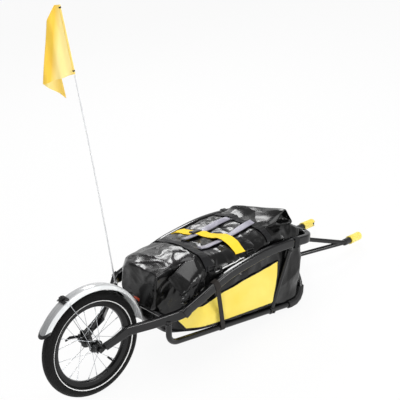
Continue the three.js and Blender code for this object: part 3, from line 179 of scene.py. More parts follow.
@dataclass(frozen=True)
class Finish:
    """A finish of one colour that varies softly, with its own roughness and fine grain."""

    name: str
    colour: str
    second: str
    roughness: float
    metallic: float = 0.0
    coat: float = 0.0
    coat_roughness: float = 0.08
    sheen: float = 0.0
    ior: float = 1.5
    patch_mm: float = 60.0
    grain_mm: float = 2.0
    bump_mm: float = 0.05
    rough_spread: float = 0.06

    def build(self) -> bpy.types.Material:
        """Makes the material once, and then gives the same one."""
        if self.name in bpy.data.materials:
            return bpy.data.materials[self.name]
        material = bpy.data.materials.new(self.name)
        material.use_nodes = True
        graph = Graph(material.node_tree)
        place = graph.add("TexCoord", out="Object")
        patches = graph.noise(place, self.patch_mm)
        base = graph.ramp(patches, [(0.35, linear(self.colour)), (0.7, linear(self.second))])
        rough = graph.add("MapRange", {
            "Value": patches, "From Min": 0.3, "From Max": 0.7,
            "To Min": max(0.02, self.roughness - self.rough_spread),
            "To Max": min(1.0, self.roughness + self.rough_spread)})
        graph.fill(material.node_tree.nodes["Principled BSDF"], {
            "Base Color": self.paint(graph, place, base), "Roughness": rough,
            "Normal": graph.bumps(self.heights(graph, place)), "Metallic": self.metallic,
            "IOR": self.ior, "Coat Weight": self.coat, "Coat Roughness": self.coat_roughness,
            "Sheen Weight": self.sheen})
        return material

    def paint(self, graph: Graph, place: Socket, base: Socket) -> Socket:
        """Gives the colour, from the softly varied one."""
        return base

    def heights(self, graph: Graph, place: Socket) -> list[tuple[Socket, float]]:
        """Gives the heights of the bump, with their depths in millimetres."""
        return [(graph.noise(place, self.grain_mm), self.bump_mm)]


@dataclass(frozen=True)
class Cloth(Finish):
    """A woven cloth: threads cross at a real spacing, with creases on top."""

    thread_mm: float = 1.2
    thread_depth_mm: float = 0.15
    crease_mm: float = 70.0
    crease_depth_mm: float = 2.0
    crumple_mm: float = 60.0
    crumple_depth_mm: float = 0.0

    def heights(self, graph: Graph, place: Socket) -> list[tuple[Socket, float]]:
        """Gives creases and the weave's two crossing sets of bands."""
        creases = graph.noise(place, self.crease_mm, noise_type="RIDGED_MULTIFRACTAL",
                              Distortion=0.6)
        weave = graph.math("MULTIPLY", *(graph.wave(place, self.thread_mm, way) for way in "XZ"))
        found = [(creases, self.crease_depth_mm), (weave, self.thread_depth_mm)]
        if self.crumple_depth_mm:
            found.insert(0, (self.crumple(graph, place), self.crumple_depth_mm))
        return found

    def crumple(self, graph: Graph, place: Socket) -> Socket:
        """Gives long facets that meet in crisp creases, as stiff coated cloth has."""
        drift = graph.add("TexNoise", {"Scale": 500 / self.crumple_mm, "Detail": 2.0,
                                       "Vector": place}, "Color")
        shift = graph.add("VectorMath", {"operation": "SCALE", 0: drift,
                                         "Scale": self.crumple_mm * MM * 0.9})
        moved = graph.add("VectorMath", {"operation": "ADD", 0: place, 1: shift})
        turned = graph.add("Mapping", {"Vector": moved, "Rotation": (0.3, 0.2, 0.7),
                                       "Scale": (1.0, 0.5, 1.0)})
        return graph.add("TexVoronoi", {"Scale": 1000 / self.crumple_mm, "Vector": turned},
                         "Distance")


@dataclass(frozen=True)
class Webbing(Finish):
    """A flat woven strap: fine ribs across, from the piece's own map along and across it."""

    rib_mm: float = 2.4
    rib_depth_mm: float = 0.5
    edge: str = "000000"
    edge_share: float = 0.0

    def paint(self, graph: Graph, place: Socket, base: Socket) -> Socket:
        """Darkens a share of the width at both edges, where they are bound."""
        if not self.edge_share:
            return base
        off_middle = graph.math("SUBTRACT", graph.part(graph.chart(), "Y"), 0.5)
        edge = graph.math("GREATER_THAN", graph.math("ABSOLUTE", off_middle), 0.5 - self.edge_share)
        return graph.mix(edge, base, linear(self.edge))

    def heights(self, graph: Graph, place: Socket) -> list[tuple[Socket, float]]:
        """Gives the ribs."""
        return [(graph.wave(graph.chart(), self.rib_mm, "X", Distortion=0.4), self.rib_depth_mm)]


@dataclass(frozen=True)
class FlagCloth(Cloth):
    """Thin nylon, with painted light: paler where light would come through its single layer, and
    painted shade deepening towards the fold.
    """

    pale: str = "ffeda0"
    # Painted light: the share of the pale colour across the cloth, low near the fold where shade is
    # painted
    painted_light_stops: Rows = (
        (0.0, 0.45), (0.1, 0.95), (0.3, 0.85), (0.4, 0.1), (0.52, 0.1), (0.62, 0.9), (0.8, 0.4),
        (1.0, 0.1))

    def paint(self, graph: Graph, place: Socket, base: Socket) -> Socket:
        """Paints light and shade between the hoist and the fold, by the piece's own map: paler
        where light comes through, deeper near the fold.
        """
        stops = [(position, (level, level, level, 1)) for position, level in self.painted_light_stops]
        share = graph.ramp(graph.part(graph.chart(), "Y"), stops)
        return graph.mix(share, base, linear(self.pale))


@dataclass(frozen=True)
class FenderSkin(Finish):
    """A laminated fender: white, with a streaked grey band along its crown."""

    band: str = "bcbdbe"
    streak: str = "6c6d6f"
    band_from: float = 0.2195
    band_full: float = 0.2205

    def paint(self, graph: Graph, place: Socket, base: Socket) -> Socket:
        """Colours the crown by how far it stands from the axle."""
        centred = graph.add("Mapping", {"Vector": place, "Location": (-AXLE_X, 0.0, -AXLE_Z)})
        flat = graph.add("VectorMath", {"operation": "MULTIPLY", 0: centred, 1: (1.0, 0.0, 1.0)})
        radius = graph.add("VectorMath", {"operation": "LENGTH", 0: flat}, "Value")
        crown = graph.add("MapRange", {"Value": radius, "From Min": self.band_from,
                                       "From Max": self.band_full})
        return graph.mix(crown, base, self.streaks(graph))

    def streaks(self, graph: Graph) -> Socket:
        """Streaks the grey band lengthwise, darker towards its rear end."""
        chart = graph.chart()
        drawn = graph.add("Mapping", {"Vector": chart, "Scale": (4.0, 60.0, 1.0)})
        lines = graph.noise(drawn, 1000.0, Detail=3.0)
        rear = graph.add("MapRange", {"Value": graph.part(chart, "X"), "From Min": 0.3,
                                      "From Max": 0.56, "To Min": 0.3, "To Max": 0.75})
        return graph.ramp(graph.math("MULTIPLY", lines, rear),
                          [(0.12, linear(self.band)), (0.42, linear(self.streak))])


@dataclass(frozen=True)
class Tread(Finish):
    """Tyre rubber: blocks all round, in metres along and a share across."""

    block_depth_mm: float = 1.6

    def heights(self, graph: Graph, place: Socket) -> list[tuple[Socket, float]]:
        """Gives the blocks and a fine grain."""
        blocks = graph.add("TexBrick", {
            "Scale": 1.0, "Brick Width": 0.016, "Row Height": 0.0085, "Mortar Size": 0.0016,
            "Mortar Smooth": 0.4, "Color1": (1, 1, 1, 1), "Color2": (0.9, 0.9, 0.9, 1),
            "Mortar": (0, 0, 0, 1), "Vector": graph.chart()}, "Color")
        return [(blocks, self.block_depth_mm), (graph.noise(place, 1.5), 0.1)]


# Powder coat: gloss black with a faint orange peel, so that edges pick up soft grey light
PAINT = Finish("gloss_black_paint", "070708", "0b0b0d", 0.17, grain_mm=3.0, bump_mm=0.015)
# Coated tarpaulin: shiny on the crests and creased all over
TARPAULIN = Cloth("black_tarpaulin", "050505", "0a0a0b", 0.23, ior=1.42, patch_mm=90.0,
                  thread_mm=2.6, thread_depth_mm=0.05, crease_mm=170.0, crease_depth_mm=4.0,
                  crumple_mm=76.0, crumple_depth_mm=15.0)
SIDE_CLOTH = Cloth("yellow_coated_cloth", "f8dd55", "fce873", 0.5, patch_mm=160.0, thread_mm=2.6,
                   thread_depth_mm=0.12, crease_mm=160.0, crease_depth_mm=1.2)
# Flag nylon with painted light and shade: paler through its single layer, deeper at the fold
FLAG_CLOTH = FlagCloth("flag_nylon_with_painted_light", "f3c013", "f9cd28", 0.62, patch_mm=70.0, thread_mm=2.4,
                       thread_depth_mm=0.1, crease_mm=120.0, crease_depth_mm=1.4, sheen=0.2)
BLACK_WEBBING = Webbing("black_webbing", "08080a", "101114", 0.6, ior=1.35)
YELLOW_WEBBING = Webbing("yellow_webbing", "f6d234", "ffe05a", 0.6, rib_mm=2.6)
GREY_GRIP = Webbing("reflective_grip", "8f8d9a", "a6a4b0", 0.42, rib_mm=2.2, rib_depth_mm=0.2,
                    edge="3a3a42", edge_share=0.09)
SIDE_WEBBING = Finish("brown_black_webbing", "120e0b", "1e1713", 0.6, ior=1.4, grain_mm=2.4,
                      bump_mm=0.3)
RUBBER = Tread("tyre_rubber", "080808", "111010", 0.58, ior=1.3, patch_mm=40.0)
FOOT_RUBBER = Finish("foot_rubber", "121213", "1b1b1c", 0.6, grain_mm=1.5, bump_mm=0.1)
WHITE_STRIPE = Finish("white_reflective_tape", "f2f2f0", "e2e3e3", 0.45, grain_mm=1.2,
                      bump_mm=0.02)
ANODISED = Finish("black_anodised_rim", "070708", "0c0c0d", 0.28, ior=1.4, bump_mm=0.01)
BLACK_HUB = Finish("black_anodised_hub", "070708", "0c0c0d", 0.26, bump_mm=0.02)
ALLOY = Finish("polished_alloy", "c3c6ca", "dcdee0", 0.24, metallic=1.0, grain_mm=1.4,
               bump_mm=0.02)
STEEL = Finish("stainless_steel", "b9bcc0", "d5d7d9", 0.28, metallic=1.0, grain_mm=1.4,
               bump_mm=0.02)
PLASTIC = Finish("black_moulded_plastic", "09090a", "101011", 0.36, ior=1.42, grain_mm=1.2,
                 bump_mm=0.06)
YELLOW_PLASTIC = Finish("yellow_moulded_plastic", "f8df5a", "fbe676", 0.38, coat=0.3,
                        grain_mm=1.6, bump_mm=0.04)
FIBREGLASS = Finish("white_fibreglass", "d9dadc", "e6e7e8", 0.35, coat=0.2, bump_mm=0.02)
FENDER_SKIN = FenderSkin("fender_laminate", "dfe1e2", "eceeee", 0.28, coat=0.4, grain_mm=3.0,
                         bump_mm=0.02)
RED_LENS = Finish("red_reflector", "b3371c", "d3542a", 0.2, coat=0.6, bump_mm=0.15)


# Mesh helpers

def choose(things: Sequence[Thing]) -> None:
    """Selects objects alone, and makes the first one active."""
    for thing in bpy.context.selected_objects:
        thing.select_set(False)
    for thing in things:
        thing.select_set(True)
    if things:
        bpy.context.view_layer.objects.active = things[0]


def outward(thing: Thing) -> None:
    """Merges doubles and turns every face outwards."""
    solid = bmesh.new()
    solid.from_mesh(thing.data)
    bmesh.ops.remove_doubles(solid, verts=solid.verts, dist=1e-6)
    bmesh.ops.recalc_face_normals(solid, faces=solid.faces)
    solid.to_mesh(thing.data)
    solid.free()


def apply_modifier(thing: Thing, kind: str, **settings: object) -> None:
    """Adds a modifier of a kind with its settings, and applies it."""
    made = thing.modifiers.new(kind.lower(), kind)
    for name, value in settings.items():
        setattr(made, name, value)
    choose([thing])
    bpy.ops.object.modifier_apply(modifier=made.name)
    choose([])


def thicken(thing: Thing, thickness: float) -> None:
    """Gives a sheet a thickness in millimetres, half on each face."""
    apply_modifier(thing, "SOLIDIFY", thickness=thickness * MM, offset=0.0)


def subdivide(thing: Thing, levels: int) -> None:
    """Rounds a cage by subdivision."""
    apply_modifier(thing, "SUBSURF", levels=levels, render_levels=levels)


def loft(rings: Sequence[Sequence[Place]], place: Matrix, closed: bool = True, chart: bool = False,
         endless: bool = False) -> Thing:
    """Skins rings of points.

    Args:
        rings: Rings with the same number of points, in millimetres.
        place: The matrix to the world.
        closed: Whether each ring closes on itself, which makes a solid.
        chart: Whether to give the piece a map in metres along and a share across.
        endless: Whether the last ring joins the first.

    Returns:
        The object, at the origin.
    """
    count, turns = len(rings[0]), len(rings)
    steps = count if closed else count - 1
    faces = [[r * count + i, r * count + (i + 1) % count,
              (r + 1) % turns * count + (i + 1) % count, (r + 1) % turns * count + i]
             for r in range(turns if endless else turns - 1) for i in range(steps)]
    walls = len(faces)
    if closed and not endless:
        faces.append(list(reversed(range(count))))
        faces.append([(turns - 1) * count + i for i in range(count)])
    mesh = bpy.data.meshes.new("part")
    mesh.from_pydata([place @ (Vector(point) * MM) for ring in rings for point in ring], [], faces)
    made = bpy.data.objects.new("part", mesh)
    bpy.context.scene.collection.objects.link(made)
    if chart:
        layer = mesh.uv_layers.new(name="strap")
        along = [0.0]
        for r in range(1, turns + endless):
            step = Vector(rings[r % turns][0]) - Vector(rings[r - 1][0])
            along.append(along[-1] + step.length * MM)
        for face in list(mesh.polygons)[:walls]:
            r, i = divmod(face.index, steps)
            corners = ((r, i), (r, i + 1), (r + 1, i + 1), (r + 1, i))
            for loop, (row, column) in zip(face.loop_indices, corners):
                layer.data[loop].uv = (along[row], column / steps)
    if closed:
        outward(made)
    return made


def headings(path: Sequence[Vector]) -> list[Vector]:
    """Gives the direction of travel at each point of a path."""
    last = len(path) - 1
    return [(path[min(i + 1, last)] - path[max(i - 1, 0)]).normalized() for i in range(len(path))]


def circle(steps: int) -> list[float]:
    """Gives the angles of a circle's steps, in radians."""
    return [2 * math.pi * k / steps for k in range(steps)]


def tube(path: Sequence[Place], radius: float | Sequence[float], place: Matrix,
         sides: int = 24) -> Thing:
    """Sweeps a circle along a path without twist.

    Args:
        path: Its centre line, in millimetres.
        radius: One radius, or one for each point.
        place: The matrix to the world.
        sides: The circle's number of sides.

    Returns:
        The object.
    """
    line = [Vector(point) for point in path]
    radii = list(radius) if isinstance(radius, Sequence) else [radius] * len(line)
    ways = headings(line)
    side = ways[0].orthogonal().normalized()
    rings = []
    for centre, way, size in zip(line, ways, radii):
        side = (side - way * side.dot(way)).normalized()
        up = way.cross(side)
        rings.append([centre + (side * math.cos(a) + up * math.sin(a)) * size
                      for a in circle(sides)])
    return loft(rings, place)


def weld_bead(at: Place, along: Vector, radius: float, place: Matrix, size: float = 1.9,
              ripples: int = 16, height: float = 0.5, steps: int = 48) -> Thing:
    """Makes a rippled ring of weld about a tube.

    Args:
        at: Its centre, in millimetres.
        along: The tube's direction.
        radius: The ring's radius.
        place: The matrix to the world.
        size: The bead's own radius.
        ripples: The number of ripples.
        height: Their height.
        steps: Steps round the ring.

    Returns:
        The bead.
    """
    axis = along.normalized()
    side = axis.orthogonal().normalized()
    up = axis.cross(side)
    ring = [Vector(at) + (side * math.cos(a) + up * math.sin(a))
            * (radius + height * math.cos(ripples * a)) for a in [*circle(steps), 2 * math.pi]]
    return tube(ring, size, place, 8)


def filleted(corners: Sequence[Place], radii: Sequence[float], steps: int = 12) -> list[Vector]:
    """Rounds the corners of a path.

    Args:
        corners: The path's corners.
        radii: A bend radius for each inner corner.
        steps: Steps in each bend.

    Returns:
        The points of the rounded path.
    """
    line = [Vector(corner) for corner in corners]
    path = [line[0]]
    for i, radius in enumerate(radii, start=1):
        before = (line[i] - line[i - 1]).normalized()
        after = (line[i + 1] - line[i]).normalized()
        turn = before.angle(after)
        axis = before.cross(after).normalized()
        inward = axis.cross(before)
        centre = line[i] - before * radius * math.tan(turn / 2) + inward * radius
        path += [centre + Matrix.Rotation(turn * k / steps, 3, axis) @ (-inward * radius)
                 for k in range(steps + 1)]
    return [*path, line[-1]]


def rounded_outline(width: float, height: float, corner: float, steps: int = 5) -> Outline:
    """Gives the outline of a rounded rectangle about its middle."""
    points = []
    for quarter, (x, y) in enumerate(((1, 1), (-1, 1), (-1, -1), (1, -1))):
        for k in range(steps + 1):
            angle = (quarter + k / steps) * math.pi / 2
            points.append((x * (width / 2 - corner) + corner * math.cos(angle),
                           y * (height / 2 - corner) + corner * math.sin(angle)))
    return points


def between(points: Sequence[Vector], i: int, t: float) -> Vector:
    """Gives the point at a share t of the way from point i to the next, on a smooth curve."""
    a, b, c, d = (points[min(max(i + k, 0), len(points) - 1)] for k in (-1, 0, 1, 2))
    return 0.5 * (2 * b + (c - a) * t + (2 * a - 5 * b + 4 * c - d) * t * t
                  + (3 * b - a - 3 * c + d) * t ** 3)


def spline(points: Sequence[Vector], steps: int) -> list[Vector]:
    """Draws a smooth curve through points."""
    return [*(between(points, i, k / steps) for i in range(len(points) - 1)
              for k in range(steps)), points[-1]]


@dataclass(frozen=True)
class BeamRow:
    """One station of a beam: its centre, its size and, in a bend, its heading."""

    at: Vector
    width: float
    height: float
    facing: Vector | None = None


def beam(rows: Sequence[BeamRow], corner: float, growth: float = 0.0) -> Thing:
    """Sweeps a rounded rectangle whose size may change, in the level frame.

    Args:
        rows: The stations.
        corner: The corner radius, in millimetres.
        growth: How much larger than the rows it is, all round.

    Returns:
        The object.
    """
    rings = []
    for row, way in zip(rows, headings([row.at for row in rows])):
        heading = row.facing or way
        side = Vector((0, 0, 1)).cross(heading).normalized()
        up = heading.cross(side)
        outline = rounded_outline(row.width + 2 * growth, row.height + 2 * growth, corner)
        rings.append([row.at + side * x + up * y for x, y in outline])
    return loft(rings, LEVEL)


def cubic_rows(rows: Sequence[BeamRow], steps: int) -> list[BeamRow]:
    """Adds stations between rows along a smooth curve."""
    line = [row.at for row in rows]
    shares = [k / steps for k in range(steps)]
    fine = [BeamRow(between(line, i, t), b.width + (c.width - b.width) * t,
                    b.height + (c.height - b.height) * t)
            for i, (b, c) in enumerate(zip(rows, rows[1:])) for t in shares]
    return [*fine, rows[-1]]


def lathe(profile: Outline, place: Matrix, start: float = 0.0, sweep: float = 360.0,
          steps: int = 144) -> Thing:
    """Turns a profile about the Y axis.

    Args:
        profile: Closed outline of radius and Y, in millimetres.
        place: The matrix to the world.
        start: The first angle, in degrees up from straight ahead.
        sweep: How far round it goes, in degrees.
        steps: The number of steps.

    Returns:
        The object, with a map along and across it.
    """
    whole = sweep >= 360
    rings = []
    for k in range(steps if whole else steps + 1):
        angle = math.radians(start + sweep * k / steps)
        rings.append([(r * math.cos(angle), y, r * math.sin(angle)) for r, y in profile])
    return loft(rings, place, chart=True, endless=whole)


def box_piece(centre: Place, size: Place, bevel: float, turn: Matrix | None = None) -> Thing:
    """Adds a block with rounded edges, in the level frame.

    Args:
        centre: Its middle, in millimetres.
        size: Its size, in millimetres.
        bevel: The radius of its edges.
        turn: A turn about its own middle.

    Returns:
        The object, with its place in its mesh.
    """
    choose([])
    bpy.ops.mesh.primitive_cube_add(size=1.0)
    made = bpy.context.object
    shape = Matrix.Diagonal((*(s * MM for s in size), 1.0))
    place = LEVEL @ Matrix.Translation(Vector(centre) * MM)
    made.data.transform(place @ (turn or Matrix()) @ shape)
    apply_modifier(made, "BEVEL", width=bevel * MM, segments=3, limit_method="NONE")
    return made


def complete(name: str, parts: Sequence[Thing], finish: Finish,
             replaced: Sequence[str] = (), body: Body = Body.FRAME, angle: float = 40.0) -> Thing:
    """Joins, names, shades and dresses a piece, and ties it to its body.

    Args:
        name: The piece's name.
        parts: What it is joined from.
        finish: Its finish.
        replaced: The CAD nodes that it stands for.
        body: The body that it rides on.
        angle: The angle below which edges are shaded smooth, in degrees.

    Returns:
        The piece.
    """
    choose(parts)
    if len(parts) > 1:
        bpy.ops.object.join()
    thing = parts[0]
    thing.name = name
    bpy.ops.object.shade_smooth_by_angle(angle=math.radians(angle))
    choose([])
    thing.data.materials.clear()
    thing.data.materials.append(finish.build())
    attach(thing, body.value)
    if replaced:
        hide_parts(*replaced)
    LOG.info("%s rides on %s", name, body.value)
    return thing


def level_tree(thing: Thing) -> BVHTree:
    """Makes a tree of a piece's faces in the towing frame, in millimetres."""
    back = LEVEL.inverted()
    points = [(back @ vertex.co) * 1000 for vertex in thing.data.vertices]
    return BVHTree.FromPolygons(points, [tuple(face.vertices) for face in thing.data.polygons])


def along_line(points: Rows, share: float) -> tuple[float, ...]:
    """Gives the point at a share of a broken line's length, in two dimensions."""
    lengths = [math.dist(a, b) for a, b in zip(points, points[1:])]
    left = share * sum(lengths)
    for a, b, length in zip(points, points[1:], lengths):
        if left <= length + 1e-9:
            t = left / length if length else 0.0
            return a[0] + (b[0] - a[0]) * t, a[1] + (b[1] - a[1]) * t
        left -= length
    return points[-1]


def calm(grid: list[list[Vector]], rounds: int) -> list[list[Vector]]:
    """Evens out a grid of points, keeping its first and last row in place."""
    for _ in range(rounds):
        fresh = [[point.copy() for point in row] for row in grid]
        for i in range(1, len(grid) - 1):
            for j in range(len(grid[0])):
                left, right = max(j - 1, 0), min(j + 1, len(grid[0]) - 1)
                mean = (grid[i - 1][j] + grid[i + 1][j] + grid[i][left] + grid[i][right]) / 4
                fresh[i][j] = grid[i][j].lerp(mean, 0.5)
        grid = fresh
    return grid


# Sub-assemblies

@dataclass
class Carried:
    """The CAD nodes whose shape is right: they stay, in better finishes."""

    nodes: tuple[tuple[Finish, str], ...] = (
        (PAINT, "dropout_right dropout_left floor_tube lower_bridge flag_socket rear_bar "
                "front_crossbar"),
        (ALLOY, "axle"), (STEEL, "skewer_rod pivot_pin"),
        (PLASTIC, "skewer_nut skewer_lever pivot_bush_upper pivot_bush_lower valve "
                  "hitch_body_right hitch_body_left"),
        (BLACK_HUB, "hub_shell hub_bearing_right hub_bearing_left"),
        (FOOT_RUBBER, "inner_tube foot_right foot_left"),
        (YELLOW_PLASTIC, "hitch_sleeve_right hitch_sleeve_left"), (FIBREGLASS, "flag_pole"),
        (SIDE_WEBBING, "side_strap_right side_strap_left"))

    def build(self) -> None:
        """Gives each kept node its finish."""
        for finish, names in self.nodes:
            for name in names.split():
                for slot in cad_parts[name].material_slots:
                    slot.material = finish.build()
                LOG.info("%s keeps its solid, in %s", name, finish.name)


@dataclass
class Wheel:
    """The 16 inch wheel: tyre with a white stripe on each side, spokes and rim."""

    radius: float = 198.0
    tyre_width: float = 47.0
    tyre_height: float = 44.0
    tyre_opening: float = 138.0
    rim_seat: float = 152.5
    stripe_radius: float = 167.0
    stripe_width: float = 2.6
    spokes: int = 10
    spoke_lead: float = 54.0
    spoke_radius: float = 0.9
    flange_radius: float = 20.0
    flange_inner: float = 25.0
    flange_outer: float = 29.8
    nipple_seat: float = 138.0
    nipple_side: float = 3.1
    nipple_length: float = 12.0
    nipple_radius: float = 1.9

    def tyre_outline(self, growth: float = 0.0) -> Outline:
        """Gives the tyre's outer arc from bead to bead."""
        angles = [math.radians(self.tyre_opening) * (k / 16 - 1) for k in range(33)]
        return [(self.radius - self.tyre_height / 2 + (self.tyre_height / 2 + growth) * math.cos(a),
                 (self.tyre_width / 2 + growth) * math.sin(a)) for a in angles]

    def build(self) -> None:
        """Builds the tyre, its stripes, the spokes and the rim."""
        seat, crown = self.rim_seat, self.radius
        inner = [(seat + 2, 9.5), (seat + 14, 17.0), (crown - 7, 14.0), (crown - 5, 0.0),
                 (crown - 7, -14.0), (seat + 14, -17.0), (seat + 2, -9.5)]
        self.turn("tyre_cover", self.tyre_outline() + inner, RUBBER, "tyre", ["tyre"], 35)
        for side in Side:
            half = sorted((p for p in self.tyre_outline(0.25) if p[1] * side.value > 0),
                          key=lambda point: point[0])
            outer = [p for p in half if abs(p[0] - self.stripe_radius) < self.stripe_width]
            back = [(r, y - side.value * 0.6) for r, y in reversed(outer)]
            self.turn(f"tyre_stripe_{side.word}", outer + back, WHITE_STRIPE, "tyre", [], 40)
            self.lace(side)
        half = [(139.0, 3.5), (141.5, 9.0), (147.5, 12.2), (seat + 4.5, 12.5), (seat + 5.5, 11.6),
                (seat + 5.5, 10.6), (seat, 10.0), (seat - 0.6, 7.0), (148.5, 5.0)]
        self.turn("rim_hoop", half + [(r, -y) for r, y in reversed(half)], ANODISED, "rim",
                  ["rim"], 30)

    def turn(self, name: str, profile: Outline, finish: Finish, slot: str,
             replaced: Sequence[str], angle: float) -> None:
        """Turns one hoop about the axle and completes it, as complete says."""
        complete(name, [lathe(profile, WHEEL)], finish, replaced, Body.WHEEL, angle)

    def lace(self, side: Side) -> None:
        """Laces the spokes, each bent through its hub flange and screwed into a nipple."""
        sign, parts = side.value, []
        for i in range(self.spokes):
            rim_angle = math.radians(360 / self.spokes * (i + (0.5 if sign > 0 else 0)))
            hub_angle = rim_angle + math.radians(self.spoke_lead if i % 2 else -self.spoke_lead)
            hub = Vector((math.cos(hub_angle), 0, math.sin(hub_angle))) * self.flange_radius
            end = Vector((math.cos(rim_angle), 0, math.sin(rim_angle))) * self.nipple_seat
            end.y = sign * self.nipple_side
            head = hub + Vector((0, sign * self.flange_inner, 0))
            elbow = hub + Vector((0, sign * self.flange_outer, 0))
            way = (end - elbow).normalized()
            neck = end - way * self.nipple_length
            parts += [tube([head, elbow, elbow + way * 3, neck], self.spoke_radius, WHEEL, 8),
                      tube([neck, end], self.nipple_radius, WHEEL, 8)]
        complete(f"spoke_set_{side.word}", parts, STEEL, [f"spokes_{side.word}"],
                 Body.WHEEL, 50)


@dataclass
class Fender:
    """The fender: a ridged strip round the wheel with a black flap on its rear end."""

    crown: float = 222.0
    lip: float = 209.0
    half_width: float = 29.0
    thickness: float = 1.8
    first: float = 9.0
    last: float = 156.2
    tip_last: float = 159.4
    clamp_angle: float = 119.7
    end_from: float = 138.0
    end_pull: float = 7.0
    ridge_height: float = 0.72
    wire_radius: float = 1.3
    axle: Matrix = LEVEL @ Matrix.Translation((0, 0, AXLE_Z))

    def outline(self, growth: float = 0.0) -> Outline:
        """Gives the section with its two lengthwise ridges and rolled lips."""
        shares = [k / 16 - 1 for k in range(33)]
        rises = [self.crown - (self.crown - self.lip) * abs(share) ** 2.6
                 + self.ridge_height * math.exp(-((abs(share) - 0.5) / 0.07) ** 2)
                 for share in shares]
        half = self.thickness / 2 + growth
        outer = [(r + half, s * (self.half_width + half)) for s, r in zip(shares, rises)]
        inner = [(r - half, s * (self.half_width - half)) for s, r in zip(shares, rises)]
        return outer + inner[::-1]

    def build(self) -> None:
        """Builds the strip and its flap, the clamp and the stays."""
        for name, growth, start, end, steps, finish, slot, node in (
                ("fender_strip", 0.0, self.first, self.last, 96, FENDER_SKIN, "fender", "fender"),
                ("fender_flap", 0.5, self.last, self.tip_last, 16, PLASTIC, "black_plastic",
                 "fender_tip")):
            strip = lathe(self.outline(growth), self.axle, start, end - start, steps)
            self.round_end(strip)
            complete(name, [strip], finish, [node], angle=35)
        self.build_clamp()
        for side in Side:
            line = [self.polar(*at[:2], side.value * at[2]) for at in (
                (0, 196, 36.5), (0, 214, 33.0), (0, 223, 31.5), (0, 227.5, 24), (0.3, 227.8, 13))]
            path = [Vector((0, side.value * 60.3, 222)), *spline(line, 6)]
            complete(f"fender_wire_{side.word}", [tube(path, self.wire_radius, LEVEL, 12)],
                     STEEL, [f"fender_stay_{side.word}"])

    def polar(self, past_clamp: float, radius: float, y: float) -> Vector:
        """Gives a place about the axle in the level frame, by degrees past the clamp."""
        turn = math.radians(self.clamp_angle + past_clamp)
        return Vector((radius * math.cos(turn), y, AXLE_Z / MM + radius * math.sin(turn)))

    def build_clamp(self) -> None:
        """Builds the black bridge on the crown and the lamp post that stands on it."""
        rows = [(-17, 0), (-14, 1.5), (0, 2.4), (16, 1.8), (26, -2), (self.half_width + 1.5, -10)]
        outer = [(self.crown + 4.6 + rise, y) for y, rise in rows]
        inner = [(self.crown + 1.2 + rise * 0.7, y) for y, rise in reversed(rows)]
        bridge = lathe(outer + inner, self.axle, self.clamp_angle - 3.4, 6.8, 6)
        turn = Matrix.Rotation(math.radians(90 - self.clamp_angle), 4, "Y")
        post = box_piece(self.polar(0, 230.5, 6), (13, 20, 11), 1.6, turn)
        ear = box_piece(self.polar(0.6, 227.5, -12), (12, 5, 8), 1.2, turn)
        complete("fender_clamp_bridge", [bridge, post, ear], PLASTIC,
                 ["fender_clamp"])

    def round_end(self, piece: Thing) -> None:
        """Pulls the edges back towards the rear end, so that it is a curve seen from behind."""
        back = self.axle.inverted()
        for vertex in piece.data.vertices:
            local = back @ vertex.co
            angle = math.degrees(math.atan2(local.z, local.x))
            share = min(1.0, abs(local.y) / (self.half_width * MM))
            late = min(1.0, max(0.0, (angle - self.end_from) / (self.last - self.end_from)))
            pull = math.radians(self.end_pull * share ** 2.5 * late ** 2)
            vertex.co = self.axle @ (Matrix.Rotation(pull, 3, "Y") @ local)


